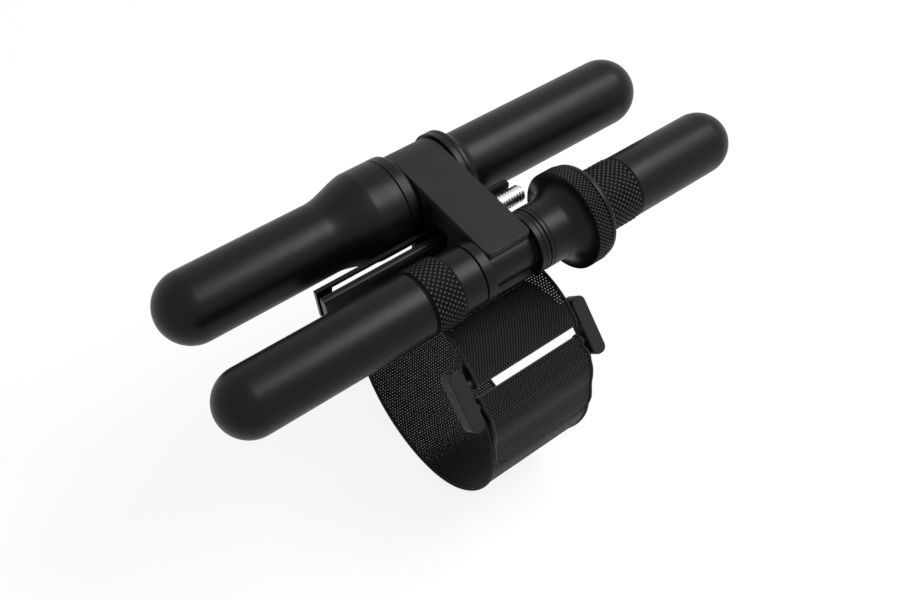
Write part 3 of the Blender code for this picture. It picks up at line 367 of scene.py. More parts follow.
def knurl(edit, axis, left, right, valley, peak, around, lines):
    """Diamond knurling: blunt pyramids in staggered lines between two edges, their flanks in a duller, less
    reflective finish as painted shade in the grooves, and their tips lighter, partly wear and partly a
    painted highlight.
    """
    pitch = 2 * (right - left) / lines
    step = 2 * math.pi / around
    fade, tip_size = 0.45, 0.46
    facet = edit.faces.layers.int.get("facet") or edit.faces.layers.int.new("facet")
    for line in range(lines + 1):
        x = left + line * pitch / 2
        for k in range(around):
            angle = (k + (line % 2) / 2) * step
            low = []
            top = []
            for dx, da in ((-0.5, 0.0), (0.0, -0.5), (0.5, 0.0), (0.0, 0.5)):
                corner_x = min(right, max(left, x + dx * pitch))
                low.append(edit.verts.new(round_point(axis, corner_x, valley, angle + da * step)))
                top_x = min(right, max(left, x + dx * pitch * tip_size))
                edge = min(top_x - left, right - top_x) / fade
                height = valley + (peak - valley) * ease(edge)
                top.append(edit.verts.new(round_point(axis, top_x, height, angle + da * step * tip_size)))
            tip = edit.faces.new(top)
            # Tips inside the band are lighter, as wear and a painted highlight. The edge tips and every
            # flank get the painted groove shade.
            tip[facet], tip.material_index = 1, TIP_WEAR_AND_HIGHLIGHT_INDEX if 0 < line < lines else GROOVE_SHADE_INDEX
            for side in range(4):
                nxt = (side + 1) % 4
                flank = edit.faces.new((low[side], low[nxt], top[nxt], top[side]))
                flank[facet], flank.material_index = 1, GROOVE_SHADE_INDEX


def helix(edit, axis, left, right, root, crest, pitch, segments=72):
    """A screw thread's ridge wound along X, which fades out at both ends."""
    shape = ((0.0, root), (0.34, crest), (0.54, crest), (0.88, root))     # shares of the pitch and radii
    fade = pitch * 0.5
    count = int((right - left) / pitch * segments) + segments
    rows = []
    for k in range(count + 1):
        start = left - pitch + pitch * k / segments
        angle = 2 * math.pi * k / segments
        row = []
        for share, radius in shape:
            x = start + share * pitch
            edge = min(x - left, right - x) / fade
            kept = root + (radius - root) * ease(edge)
            row.append(edit.verts.new(round_point(axis, min(right, max(left, x)), kept, angle)))
        rows.append(row)
    for one, two in zip(rows, rows[1:]):
        for i in range(len(shape) - 1):
            edit.faces.new((one[i], one[i + 1], two[i + 1], two[i]))


def spigot_thread(edit, axis, left, right, root):
    """The thread of a spigot that a tube or cap screws on."""
    helix(edit, axis, left, right, root, crest=root + 0.4, pitch=1.5)


def turned(name, axis, outline, body, nodes, edge=0.22, relief=None):
    """A turned piece of anodised aluminium with eased edges and any knurling or thread."""
    edit = bmesh.new()
    profile = eased(outline, edge)
    lathe(edit, axis, profile, closed=profile[0][1] > POINT and profile[-1][1] > POINT)
    if relief:
        relief(edit)
    piece(name, to_mesh(edit), ANODISED, body, nodes)


def prism(outline, half):
    """Extrude a closed (y, z) outline to both sides along X, as edit data."""
    edit = bmesh.new()
    left = [edit.verts.new((-half, y, z)) for y, z in outline]
    right = [edit.verts.new((half, y, z)) for y, z in outline]
    edit.faces.new(left)
    edit.faces.new(list(reversed(right)))
    count = len(outline)
    for k in range(count):
        nxt = (k + 1) % count
        edit.faces.new((left[k], right[k], right[nxt], left[nxt]))
    edit.normal_update()
    bmesh.ops.recalc_face_normals(edit, faces=edit.faces)
    return edit


def bevel(edit, wanted, width, segments):
    """Round the edges that a test picks out."""
    edit.normal_update()
    chosen = [e for e in edit.edges if wanted(e)]
    bmesh.ops.bevel(edit, geom=chosen, offset=width, offset_type="OFFSET", segments=segments,
                    profile=0.5, affect="EDGES", clamp_overlap=True)


def sharp(limit):
    """A test for edges that turn by more than some degrees."""
    return lambda e: len(e.link_faces) == 2 and e.calc_face_angle(0.0) > math.radians(limit)


def upright(edge):
    """A test for edges that run up and down."""
    return abs(edge.verts[0].co.z - edge.verts[1].co.z) > 1.0


def block(low, high):
    """A box as edit data."""
    edit = bmesh.new()
    bmesh.ops.create_cube(edit, size=1.0)
    for vert in edit.verts:
        vert.co = Vector([low[i] if vert.co[i] < 0 else high[i] for i in range(3)])
    return edit


# Inflator

def make_canister():
    """Left tube with a flared collar; the flare meets it at a faint edge."""
    mouth, collar, flare, dome = -13.5, -23.0, -38.3, -83.0
    collar_r, socket_r, bore = 15.0, 12.25, 9.9
    steps, edge_share = 30, 0.3           # the part of the flare's rise that ends in an edge
    outer = [(mouth, socket_r), (mouth, collar_r), (collar, collar_r)]
    for step in range(1, steps):
        share = 1 - step / steps
        rise = (1 - edge_share) * ease(share) + edge_share * share * share
        outer.append((flare + (collar - flare) * share, TUBE_R + (collar_r - TUBE_R) * rise))
    outer += arc(dome, 0.0, TUBE_R, 90, 180)
    inner = arc(dome, 0.0, bore, 180, 90) + [(-26.75, bore), (-24.4, socket_r)]
    turned("canister_shell", INFLATOR, outer + inner, "canister_cup", ["canister"])


def make_head():
    """Middle of the inflator: flanges, a threaded left spigot and a grooved right spigot."""
    right_r, groove_r, flange_r, score_r, core_r = 9.4, 8.05, 14.6, 14.4, 10.8
    chuck_seat, cartridge_seat, gas_way = 5.25, 5.0, 1.3
    left_end = -23.8
    right_spigot = [(22.0, chuck_seat), (22.0, right_r), (17.0, right_r), (17.0, groove_r)]
    right_spigot += [(15.2, groove_r), (15.2, right_r), (13.0, right_r)]
    flange = [(13.0, 14.0), (12.4, flange_r), (11.3, flange_r), (11.15, score_r), (10.9, score_r)]
    flange += [(10.75, flange_r), (CORE, flange_r)]
    core = [(CORE, core_r), (-CORE, core_r)]
    ring = arc(-10.2, 13.6, 1.4, 0, 90, 6) + [(-13.2, 15.0), (-13.2, TUBE_R)]
    bore = [(left_end, cartridge_seat), (-5.4, cartridge_seat), (-5.4, gas_way), (16.0, gas_way),
            (16.0, chuck_seat)]

    def relief(edit):
        spigot_thread(edit, INFLATOR, left=-23.4, right=-18.2, root=TUBE_R)
    outline = right_spigot + flange + core + ring + [(left_end, TUBE_R)] + bore
    turned("inflator_head_body", INFLATOR, outline, "inflator", ["inflator_head"], relief=relief)


def make_cover():
    """Right tube with a fillet foot."""
    dome, foot, fillet_length, fillet_rise, bore = 80.1, 13.3, 3.2, 1.7, 9.75
    steps = 12
    outer = arc(dome, 0.0, TUBE_R, 0, 90)
    for step in range(steps + 1):
        share = step / steps
        outer.append((foot + fillet_length * (1 - share),
                      TUBE_R + fillet_rise * (1 - math.sqrt(1 - share * share))))
    inner = [(foot, bore)] + arc(dome, 0.0, bore, 90, 0)
    turned("nozzle_cover_shell", INFLATOR, outer + inner, "cover", ["nozzle_cover"])


def make_chuck():
    """Valve chuck with a knurled grip."""
    face, grip_right, grip_left, shoulder, stem = 36.3, 34.4, 24.4, 22.3, 16.3
    rim_r, grip_r, stem_r, valve_r, gas_way = 7.75, 7.4, 4.9, 4.2, 1.3
    outer = [(face, valve_r), (face, 7.2), (35.5, rim_r), (grip_right, rim_r), (grip_right, grip_r)]
    outer += [(grip_left, grip_r), (grip_left, rim_r), (shoulder, rim_r), (shoulder, stem_r), (stem, stem_r)]
    inner = [(stem, gas_way), (26.8, gas_way), (26.8, valve_r)]

    def relief(edit):
        knurl(edit, INFLATOR, grip_left, grip_right, valley=7.42, peak=7.95, around=32, lines=12)
    turned("valve_chuck_body", INFLATOR, outer + inner, "inflator", ["valve_chuck"], relief=relief)


# Plug tool

def make_handle():
    """Middle of the plug tool with its rings and spigots."""
    right_end, left_end, ring_end = 44.0, -21.8, 12.2
    right_r, ring_r, score_r, core_r, socket_r = 5.2, 10.2, 10.0, 7.3, 2.2
    right_ring = [(ring_end, right_r), (ring_end, ring_r), (11.0, ring_r), (10.9, score_r), (10.7, score_r)]
    right_ring += [(10.6, ring_r), (CORE, ring_r)]
    core = [(CORE, core_r), (-CORE, core_r)]
    left_ring = [(-CORE, ring_r), (-ring_end, ring_r), (-ring_end, SPIGOT_R)]
    left_socket = [(left_end, SPIGOT_R), (left_end, socket_r), (-9.8, socket_r), (-9.8, 0.0)]
    right_socket = [(32.0, 0.0), (32.0, socket_r), (right_end, socket_r)]
    outline = [(right_end, socket_r), (right_end, right_r)] + right_ring + core + left_ring + left_socket
    edit = bmesh.new()
    lathe(edit, TOOL, eased(outline, 0.2))
    lathe(edit, TOOL, right_socket)
    spigot_thread(edit, TOOL, left=-21.5, right=-16.4, root=SPIGOT_R)
    piece("tool_handle_body", to_mesh(edit), ANODISED, "tool", ["tool_handle"])


def make_bell():
    """Flared guard whose rim is knurled, with a threaded spigot inside the plug cap."""
    end, face, neck_end, bore = 43.7, 34.4, 12.5, 5.55
    neck_r, score_r, rim_r, band_r = 10.3, 10.1, 14.7, 15.4
    band_left, band_right = 25.97, 32.0
    flare_x, flare_r, flare_length, flare_rise = 20.5, 16.5, 5.4, 6.2
    rounding, steps = 1.25, 32
    outer = [(end, bore), (end, SPIGOT_R), (face, SPIGOT_R), (face, rim_r)]
    outer += arc(face - rounding, rim_r, rounding, 0, 90, 8)
    outer += [(32.35, 15.95), (32.1, band_r), (25.95, band_r), (25.9, 16.4)]
    for step in range(1, steps + 1):
        angle = math.pi / 2 * (1 - step / steps)
        outer.append((flare_x + flare_length * math.sin(angle), flare_r - flare_rise * math.cos(angle)))
    outer += [(14.0, neck_r), (13.9, score_r), (13.7, score_r), (13.6, neck_r), (neck_end, neck_r)]
    outer.append((neck_end, bore))

    def relief(edit):
        knurl(edit, TOOL, band_left, band_right, valley=15.55, peak=16.4, around=77, lines=8)
        spigot_thread(edit, TOOL, left=38.6, right=43.4, root=SPIGOT_R)
    turned("guard_bell_body", TOOL, outer, "tool", ["guard_bell"], edge=0.12, relief=relief)


BAND_R = 9.95                 # under the caps' knurling
BAND_VALLEY, BAND_PEAK = 10.0, 10.8
BAND_AROUND = 36              # diamonds round a cap


def make_reamer_cap():
    """Left cap with a knurled band near its mouth."""
    mouth, lip_r, dome = -12.5, 9.9, -88.3
    outer = [(mouth, CAP_MOUTH), (mouth, lip_r), (-20.3, lip_r), (-20.5, 9.7), (-20.8, BAND_R)]
    outer += [(-31.75, BAND_R), (-32.2, CAP_R)] + arc(dome, 0.0, CAP_R, 90, 180)
    inner = arc(dome, 0.0, CAP_BORE, 180, 90) + [(-25.8, CAP_BORE), (-24.2, CAP_MOUTH)]

    def relief(edit):
        knurl(edit, TOOL, -31.5, -20.8, BAND_VALLEY, BAND_PEAK, BAND_AROUND, lines=11)
    turned("reamer_cap_shell", TOOL, outer + inner, "reamer_cover", ["reamer_cap"], relief=relief)


def make_plug_cap():
    """Right cap with a long knurled band."""
    mouth, dome = 34.7, 86.8
    outer = arc(dome, 0.0, CAP_R, 0, 90) + [(51.2, CAP_R), (50.8, BAND_R), (35.1, BAND_R), (mouth, 9.7)]
    inner = [(mouth, CAP_MOUTH), (46.4, CAP_MOUTH), (48.0, CAP_BORE)] + arc(dome, 0.0, CAP_BORE, 90, 0)

    def relief(edit):
        knurl(edit, TOOL, 35.1, 50.55, BAND_VALLEY, BAND_PEAK, BAND_AROUND, lines=16)
    turned("plug_cap_shell", TOOL, outer + inner, "plug_cover", ["plug_cap"], relief=relief)


# Carrier

def make_plate():
    """Flat bridge over both cores, hooked round the far side of the inflator. Its top is bare."""
    half, near_end, top, under, hook, steps = 8.5, -23.15, 35.6, 33.1, 25, 28
    outline = [(near_end, top)] + arc(*INFLATOR, top - INFLATOR[1], 90, hook, steps)
    outline += arc(*INFLATOR, under - INFLATOR[1], hook, 90, steps) + [(near_end, under)]
    edit = prism(outline, half)

    def near_corner(edge):
        return upright(edge) and all(vert.co.y < near_end + 0.1 for vert in edge.verts)
    bevel(edit, near_corner, width=2.0, segments=8)
    bevel(edit, sharp(45), width=0.45, segments=3)
    piece("clip_plate_body", to_mesh(edit), PLASTIC, "carrier", ["clip_plate"])


def make_pad():
    """Rubber saddle pad with grip ribs across its underside."""
    reach_x, reach_y, ribs, top = 24.05, 8.1, 7, 2.0
    foot_gap, crest_gap, rib_height, edge_height = 0.25, 0.55, 0.45, 0.7
    outline = []
    pitch = 2 * reach_y / ribs
    for k in range(ribs):
        y = -reach_y + k * pitch
        outline += [(y + foot_gap, rib_height), (y + crest_gap, 0.0)]
        outline += [(y + pitch - crest_gap, 0.0), (y + pitch - foot_gap, rib_height)]
    outline += [(reach_y, edge_height), (reach_y, top), (-reach_y, top), (-reach_y, edge_height)]
    edit = prism(outline, reach_x)
    bevel(edit, sharp(30), width=0.18, segments=2)
    piece("saddle_pad_rubber", to_mesh(edit), RUBBER, "carrier", ["saddle_pad"])


def make_stud():
    """Plated stud with its thread."""
    right_end, left_end, end_r, root = 25.5, 2.6, 2.1, 2.66
    outline = [(right_end, 0.0), (right_end, end_r), (24.75, root), (3.4, root), (left_end, end_r)]
    outline.append((left_end, 0.0))
    edit = bmesh.new()
    lathe(edit, STUD, eased(outline, 0.15), segments=72)
    helix(edit, STUD, left=3.0, right=24.9, root=2.67, crest=2.93, pitch=1.15)
    piece("rail_stud_thread", to_mesh(edit), CHROME, "carrier", ["rail_stud"])


# Strap and buckle

BUCKLE = (-39.1, -6.0)        # y and z of the buckle's middle
BUCKLE_X = -0.85
SLOPE = math.radians(40.5)    # of the buckle's plane
BAR_OFFSET = 3.85             # from the buckle's middle to each bar
BAR_R = 1.5
REACH = 2.4                   # bar radius, seat and half the webbing
WRAP_STEPS = 8                # of a half turn round a bar
STRAP_HALF = 21.3             # half the webbing's width
STRAP_X = 0.35                # middle of the webbing at its sewn end
STRAP_SKEW = 1.2              # its drift towards -X by the tail
STRAP_Z = 5.6                 # its height in the carrier's foot
FOOT_HALF = 8.6               # half the stretch that lies flat in the foot
LOOP = (-13.9, -32.0)         # y and z of the loop's middle
LOOP_HALF = (37.1, 40.5)      # its half axes
LOOP_FROM, LOOP_TURN = 15.0, 210.0    # degrees from +Y, and on towards -Z
LOOP_STEPS = 30
BULGE = 1.75                  # how far the loop's front stands out of the ellipse
BULGE_FROM, BULGE_RISE = -70, 60      # degrees where it starts, and over which it grows
BULGE_TO, BULGE_FALL = -200, 32       # degrees where it ends, and over which it shrinks
LAYER = 1.55                  # between the layers of the sewn fold
TAIL_LAYER = 1.2              # between the tail and the strap under it
FOLD_EASE = 17.0              # length over which a fold's layers draw together
SEWN_STEPS = 10               # points of the top run that the sewn end lies along
SEWN_TAPER = 9.0              # how far each side of the sewn end is cut back
TAIL_STEPS = 3                # points of the loop that the tail lies along
TAIL_ROUND = 4.5              # radius of the tail's corners
OPEN_STEPS = 20               # points of the loop along which the knit stays open
TOP_PULL, TOP_STEPS = 1.33, 12        # how straight each run leaves its start, and its points
BACK_PULL, BACK_STEPS = 0.3, 10
FRONT_PULL, FRONT_STEPS = 2.0, 6


def buckle_point(along, out):
    """A point in the buckle's plane, along the strap towards its tail and out of the loop."""
    tail = Vector((-math.cos(SLOPE), -math.sin(SLOPE)))
    outward = Vector((-math.sin(SLOPE), math.cos(SLOPE)))
    return Vector(BUCKLE) + tail * along + outward * out


def blend_curve(start, start_pull, end, end_pull, steps):
    """Points between two points with given end tangents, both ends left out."""
    points = []
    for step in range(1, steps):
        t = step / steps
        points.append(start * (2 * t ** 3 - 3 * t ** 2 + 1) + start_pull * (t ** 3 - 2 * t ** 2 + t)
                      + end * (3 * t ** 2 - 2 * t ** 3) + end_pull * (t ** 3 - t ** 2))
    return points


def wrap_bar(along, side):
    """Half turn of the strap round a bar, from inside the loop to outside it."""
    points = []
    for step in range(1, WRAP_STEPS):
        angle = math.pi * step / WRAP_STEPS
        points.append(buckle_point(along + side * REACH * math.sin(angle), -REACH * math.cos(angle)))
    return points


def folded(path, layer):
    """The layer beside a path: wide apart at the bar where it starts, then close to the path."""
    points = []
    travelled = 0.0
    for index, point in enumerate(path):
        before, after = path[max(index - 1, 0)], path[min(index + 1, len(path) - 1)]
        travelled += (point - before).length
        run = (after - before).normalized()
        apart = layer + (2 * REACH - layer) * (1 - ease(travelled / FOLD_EASE))
        points.append(point + Vector((run.y, -run.x)) * apart)
    return points


def run_length(points):
    """Length of a line through points."""
    return sum((two - one).length for one, two in zip(points, points[1:]))


def loop_points():
    """The loop from behind the foot, down and round to its front."""
    points = []
    for step in range(LOOP_STEPS + 1):
        turn = LOOP_FROM - LOOP_TURN * step / LOOP_STEPS
        angle = math.radians(turn)
        bulge = BULGE * ease((BULGE_FROM - turn) / BULGE_RISE) * ease((turn - BULGE_TO) / BULGE_FALL)
        points.append(Vector((LOOP[0] + (LOOP_HALF[0] + bulge) * math.cos(angle),
                              LOOP[1] + (LOOP_HALF[1] + bulge) * math.sin(angle))))
    return points


def strap_route():
    """Middle line of the webbing as (y, z), both folds' lengths and how far its knit is open."""
    upper_bar = buckle_point(-BAR_OFFSET, REACH)
    lower_bar = buckle_point(BAR_OFFSET, -REACH)
    uphill = (buckle_point(-1.0, 0.0) - buckle_point(0.0, 0.0)).normalized()
    loop = loop_points()
    foot_front, foot_back = Vector((-FOOT_HALF, STRAP_Z)), Vector((FOOT_HALF, STRAP_Z))
    level = Vector((1.0, 0.0))
    span = (foot_front - upper_bar).length
    pull = uphill * TOP_PULL * span
    top_run = [upper_bar] + blend_curve(upper_bar, pull, foot_front, level * span, TOP_STEPS)
    span = (loop[0] - foot_back).length
    pull = (loop[1] - loop[0]).normalized() * span
    back_run = blend_curve(foot_back, level * BACK_PULL * span, loop[0], pull, BACK_STEPS)
    span = (lower_bar - loop[-1]).length
    pull = (loop[-1] - loop[-2]).normalized() * FRONT_PULL * span
    front_run = blend_curve(loop[-1], pull, lower_bar, uphill * span, FRONT_STEPS) + [lower_bar]
    sewn = list(reversed(folded(top_run[:SEWN_STEPS], LAYER)))
    tail = folded(list(reversed(front_run)) + list(reversed(loop))[:TAIL_STEPS], TAIL_LAYER)
    route = sewn + wrap_bar(-BAR_OFFSET, 1) + top_run + [foot_front, foot_back] + back_run + loop
    route += front_run + wrap_bar(BAR_OFFSET, -1) + tail
    foot = len(sewn) + len(top_run) + WRAP_STEPS
    reach = [run_length(route[:last]) for last in (foot, foot + len(back_run) + OPEN_STEPS)]
    return route, run_length(sewn), run_length(tail), reach


def smooth_run(points, spacing):
    """Points at an even spacing on a smooth curve through a route, with their normals."""
    between, tiny = 12, 1e-6
    dense = []
    last = len(points) - 1
    for k in range(last):
        p0, p1 = points[max(k - 1, 0)], points[k]
        p2, p3 = points[k + 1], points[min(k + 2, last)]
        span = (p2 - p1).length
        m1 = (p2 - p0) * (span / max((p1 - p0).length + span, tiny))
        m2 = (p3 - p1) * (span / max((p3 - p2).length + span, tiny))
        dense += [p1] + blend_curve(p1, m1, p2, m2, between)
    dense.append(points[-1])
    travelled = [0.0]
    for one, two in zip(dense, dense[1:]):
        travelled.append(travelled[-1] + (two - one).length)
    count = round(travelled[-1] / spacing)
    places, index = [], 0
    for k in range(count + 1):
        goal = travelled[-1] * k / count
        while index < len(dense) - 2 and travelled[index + 1] < goal:
            index += 1
        share = (goal - travelled[index]) / max(travelled[index + 1] - travelled[index], tiny)
        places.append(dense[index].lerp(dense[index + 1], share))
    normals = []
    for k in range(count + 1):
        run = places[min(k + 1, count)] - places[max(k - 1, 0)]
        normals.append(Vector((-run.y, run.x)).normalized())
    return places, normals, travelled[-1]


def cloth_uv(edit, across, along):
    """Store where each vertex lies on the flat cloth, in half cells across and rows along."""
    layer = edit.loops.layers.uv.new("cloth")
    for face in edit.faces:
        for loop in face.loops:
            loop[layer].uv = (across[loop.vert], along[loop.vert])


def make_strap():
    """Knitted webbing with an opening in each cell where the knit stays open, a selvedge down each edge and
    a sewn end.

    Returns where its seams lie, with their normals.
    """
    columns, selvedge = 38, 1.0
    full_width = 4                        # before the end of the sewn layer, where its taper ends
    open_from, close_over = 10, 14.0      # past the sewn layer, and length over which the knit closes
    loop_share = 0.7                      # how far the knit opens round the loop
    flat_relief, open_relief = 0.06, 0.1
    open_x, open_s = 0.14, 0.13           # half an opening across, and in rows along
    closed_share = 0.12                   # cells that would open less than this stay closed
    sunk = -0.1                           # the rim of an opening, below the webbing's middle
    dull_cell = (0.0, 0.1)                # where all of the selvedge lies on the flat cloth
    creases = ((-1.0, 1.7, 1.3), (0.5, 4.7, 1.5), (-0.15, 8.0, 1.6))     # height, place and width
    rim = ((0.0, 0.4), (0.4, 0.46), (0.75, 0.4), (0.98, 0.16), (0.98, -0.16), (0.75, -0.4), (0.4, -0.46),
           (0.0, -0.4))                   # section of the selvedge
    route, sewn_length, tail_length, reach = strap_route()
    places, normals, length = smooth_run(route, spacing=0.95)
    pitch = length / (len(places) - 1)
    field = STRAP_HALF - selvedge
    half_pitch = field / columns
    edit = bmesh.new()
    across, along = {}, {}

    def narrowed(far):
        cut = SEWN_TAPER * min(1.0, max(0.0, 1 - far / (sewn_length - full_width)))
        into = max(0.0, TAIL_ROUND - (length - far))
        cut += TAIL_ROUND - math.sqrt(TAIL_ROUND ** 2 - into ** 2)
        return 1 - cut / STRAP_HALF

    def ripple(far):
        into = far - (length - tail_length)
        return sum(high * math.exp(-((into - spot) / wide) ** 2) for high, spot, wide in creases)

    def put(x, s, lift):
        k = min(int(s), len(places) - 2)
        spot = places[k].lerp(places[k + 1], s - k)
        out = normals[k].lerp(normals[k + 1], s - k)
        far = s * pitch
        lift -= ripple(far)
        side = x * narrowed(far) + STRAP_X - STRAP_SKEW * far / length
        vert = edit.verts.new((side, spot.x + out.x * lift, spot.y + out.y * lift))
        across[vert], along[vert] = (x + field) / half_pitch, s
        return vert

    def gape(row):
        far = row * pitch
        if far < sewn_length + open_from:
            return 0.0
        return 1.0 if far < reach[0] else loop_share * ease((reach[1] - far) / close_over)

    lines = []
    for row in range(len(places)):
        line = []
        relief = flat_relief + open_relief * ease(gape(row))
        for k in range(2 * columns + 1):
            line.append(put(-field + k * half_pitch, row, relief if (k + row) % 2 else -relief))
        lines.append(line)
    for row in range(len(places) - 1):
        low, high = lines[row], lines[row + 1]
        share = gape(row)
        start = row % 2
        if start:
            edit.faces.new((low[0], low[1], high[1], high[0]))
            edit.faces.new((low[-2], low[-1], high[-1], high[-2]))
        for k in range(start, 2 * columns - start, 2):
            # A closed cell has no opening; the cloth's colour paints a dark spot there as painted shade.
            if share < closed_share:
                edit.faces.new((low[k], low[k + 1], low[k + 2], high[k + 2], high[k + 1], high[k]))
                continue
            x, s = -field + (k + 1) * half_pitch, row + 0.5
            left, right = put(x - open_x * share, s, sunk), put(x + open_x * share, s, sunk)
            under, over = put(x, s - open_s * share, sunk), put(x, s + open_s * share, sunk)
            edit.faces.new((low[k], low[k + 1], under, left))
            edit.faces.new((low[k + 1], low[k + 2], right, under))
            edit.faces.new((low[k + 2], high[k + 2], right))
            edit.faces.new((high[k + 2], high[k + 1], over, right))
            edit.faces.new((high[k + 1], high[k], left, over))
            edit.faces.new((high[k], low[k], left))
    for side in (-1, 1):
        rings = []
        for row in range(len(places)):
            ring = [put(side * (field + dx), row, lift) for dx, lift in rim]
            for vert in ring:
                across[vert], along[vert] = dull_cell
            rings.append(ring)
        join_rings(edit, rings)
        edit.faces.new(rings[0])
        edit.faces.new(list(reversed(rings[-1])))
    cloth_uv(edit, across, along)
    for vert in edit.verts:
        vert.co *= MM
    for face in edit.faces:
        face.smooth = True
    edit.normal_update()
    mesh = bpy.data.meshes.new("strap_webbing")
    edit.to_mesh(mesh)
    edit.free()
    obj = piece("strap_webbing", mesh, WEBBING, "carrier", ["strap"], soften=False)
    first_seam, second_seam = 1.4, 3.1    # from the sewn end
    under_end = 2 * sewn_length + math.pi * REACH
    seams = (first_seam, second_seam, under_end - first_seam, under_end - second_seam)
    rows = [round(far / pitch) for far in seams]
    return [(places[row], normals[row]) for row in rows]


def make_stitching(seams):
    """Rows of stitches that close the sewn fold, seen on the outer face of both layers."""
    count, half_row, stitch = 9, 10.4, 1.9
    steps, facets = 6, 6
    low, bow, half_high, half_wide = 0.32, 0.2, 0.15, 0.18
    edit = bmesh.new()
    for spot, out in seams:
        run = Vector((out.y, -out.x))
        for k in range(count):
            x = STRAP_X - half_row + 2 * half_row * k / (count - 1)
            rings = []
            for step in range(steps + 1):
                share = step / steps
                rise = low + bow * math.sin(math.pi * share)
                ring = []
                for turn in range(facets):
                    angle = 2 * math.pi * turn / facets
                    yz = spot + out * (rise + half_high * math.sin(angle))
                    yz += run * half_wide * math.cos(angle)
                    ring.append(edit.verts.new((x + (share - 0.5) * stitch, yz.x, yz.y)))
                rings.append(ring)
            join_rings(edit, rings)
            edit.faces.new(rings[0])
            edit.faces.new(rings[-1])
    piece("strap_stitches", to_mesh(edit), THREAD, "carrier", ())


def make_buckle():
    """Two end blocks with rounded ends, joined by the two bars that the strap folds round."""
    inside, outside, half_long, half_thick, bar_end = 22.8, 28.0, 10.25, 3.05, 23.6
    edit = bmesh.new()
    for side in (-1, 1):
        ends = sorted((side * inside, side * outside))
        part = block((ends[0], -half_long, -half_thick), (ends[1], half_long, half_thick))
        bevel(part, upright, width=2.3, segments=10)
        bevel(part, sharp(45), width=0.42, segments=3)
        mesh = bpy.data.meshes.new("block")
        part.to_mesh(mesh)
        part.free()
        edit.from_mesh(mesh)
        bpy.data.meshes.remove(mesh)
    bar = [(-bar_end, 0.0), (-bar_end, BAR_R), (bar_end, BAR_R), (bar_end, 0.0)]
    for side in (-1, 1):
        lathe(edit, (side * BAR_OFFSET, 0.0), bar, segments=32)
    turn_c, turn_s = math.cos(SLOPE), math.sin(SLOPE)
    for vert in edit.verts:
        x, y, z = vert.co
        out_y, out_z = y * turn_c - z * turn_s, y * turn_s + z * turn_c
        vert.co = Vector((x + BUCKLE_X, BUCKLE[0] + out_y, BUCKLE[1] + out_z))
    piece("strap_buckle_ring", to_mesh(edit), PLASTIC, "carrier", ["strap_buckle"])


def dress_nodes():
    """Materials and softened edges for the CAD nodes that stay in view."""
    nodes = frame["nodes"]
    finishes = {
        "carrier_body": PLASTIC, "mount_rail": ANODISED,
        "co2_cartridge": PLATED, "pierce_pin": PLATED, "reamer": PLATED, "reamer_collet": PLATED,
        "plug_fork": PLATED, "plug_collet": PLATED,
        "cartridge_seal": RUBBER, "cover_o_ring": RUBBER, "chuck_gasket": RUBBER,
        "canister_seal": RUBBER, "reamer_cap_seal": RUBBER, "plug_cap_seal": RUBBER, "plug_strip": RUBBER,
    }
    for name, mat in finishes.items():
        mesh = nodes[name].data
        mesh.materials.clear()
        mesh.materials.append(mat)
    for name, width in (("carrier_body", 0.3), ("mount_rail", 0.22)):
        soft = nodes[name].modifiers.new("edges", "BEVEL")
        soft.width = width * MM
        soft.segments = 3
        soft.limit_method = "ANGLE"
        soft.angle_limit = math.radians(40)
        soft.harden_normals = True
        nodes[name].data.shade_smooth()


# Studio

FLOOR_HALF = 3.0
FLOOR_GAP = 0.0004            # below the lowest point of the CAD
FLOOR_GLOW = 0.85             # share of the floor that is plain white where it is seen
WORLD_LIT, WORLD_SEEN = 0.55, 1.0     # strength for rays that light things and for rays that see it


def seen_direct(owner):
    """1 for rays from the camera, a reflection or through glass, 0 for rays that light things."""
    path = owner.node_tree.nodes.new("ShaderNodeLightPath")
    value = path.outputs["Is Camera Ray"]
    for ray in ("Is Glossy Ray", "Is Transmission Ray"):
        value = combined(owner, "MAXIMUM", value, path.outputs[ray])
    return value


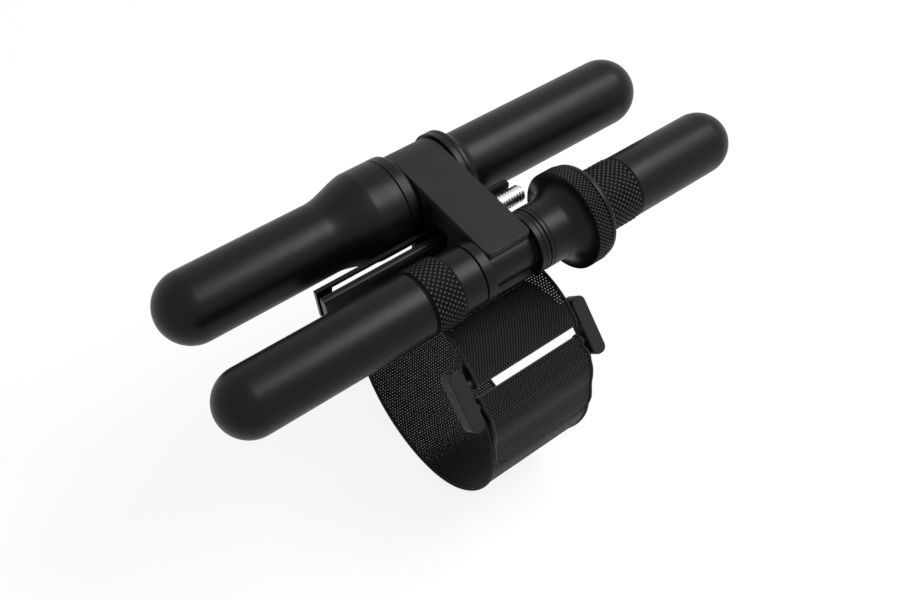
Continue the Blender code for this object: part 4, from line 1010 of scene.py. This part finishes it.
def make_floor():
    """White floor that keeps a soft shadow."""
    mesh = bpy.data.meshes.new("floor")
    side, level = FLOOR_HALF, cad_low.z - FLOOR_GAP
    corners = [(-side, -side, level), (side, -side, level), (side, side, level), (-side, side, level)]
    mesh.from_pydata(corners, [], [(0, 1, 2, 3)])
    floor = bpy.data.objects.new("floor", mesh)
    bpy.context.scene.collection.objects.link(floor)
    paper, shader, place = surface("paper", grey(0.94), roughness=0.9, specular=0.1)
    tint(paper, shader, noise(paper, place, scale=3.0), grey(0.935), grey(0.945))
    nodes, links = paper.node_tree.nodes, paper.node_tree.links
    glow = nodes.new("ShaderNodeEmission")
    mix = nodes.new("ShaderNodeMixShader")
    links.new(combined(paper, "MULTIPLY", seen_direct(paper), FLOOR_GLOW), mix.inputs["Fac"])
    links.new(shader.outputs["BSDF"], mix.inputs[1])
    links.new(glow.outputs["Emission"], mix.inputs[2])
    links.new(mix.outputs["Shader"], nodes["Material Output"].inputs["Surface"])
    mesh.materials.append(paper)


def make_world():
    """White surroundings, dimmer for the rays that light things."""
    world = bpy.data.worlds.new("studio")
    bpy.context.scene.world = world
    world.use_nodes = True
    nodes, links = world.node_tree.nodes, world.node_tree.links
    back = nodes["Background"]
    back.inputs["Color"].default_value = (1.0, 1.0, 1.0, 1.0)
    strength = nodes.new("ShaderNodeMapRange")
    strength.inputs["To Min"].default_value = WORLD_LIT
    strength.inputs["To Max"].default_value = WORLD_SEEN
    links.new(seen_direct(world), strength.inputs["Value"])
    links.new(strength.outputs["Result"], back.inputs["Strength"])


def make_key():
    """A soft box that looks at the part's origin."""
    lamp = bpy.data.lights.new("key", "AREA")
    lamp.shape = "RECTANGLE"
    lamp.size, lamp.size_y = 0.55, 0.36
    lamp.energy = 7.0
    obj = bpy.data.objects.new("key", lamp)
    bpy.context.scene.collection.objects.link(obj)
    place = Vector((0.40, -0.17, 0.78))
    obj.location = place
    obj.rotation_euler = (-place).to_track_quat("-Z", "Y").to_euler()


def make_camera():
    """The photograph's viewpoint."""
    data = bpy.data.cameras.new("camera")
    data.sensor_fit = "HORIZONTAL"
    data.sensor_width = 36.0
    data.lens = 46.991
    data.clip_start = 0.01
    obj = bpy.data.objects.new("camera", data)
    bpy.context.scene.collection.objects.link(obj)
    obj.location = (-0.171934, -0.175100, 0.294130)
    obj.rotation_euler = tuple(math.radians(a) for a in (38.1558, -4.6745, -38.7377))
    bpy.context.scene.camera = obj


make_camera()
make_canister()
make_head()
make_cover()
make_chuck()
make_handle()
make_bell()
make_reamer_cap()
make_plug_cap()
make_plate()
make_pad()
make_stud()
make_stitching(make_strap())
make_buckle()
dress_nodes()
bpy.context.scene.view_settings.view_transform = "Standard"
make_floor()
make_world()
make_key()
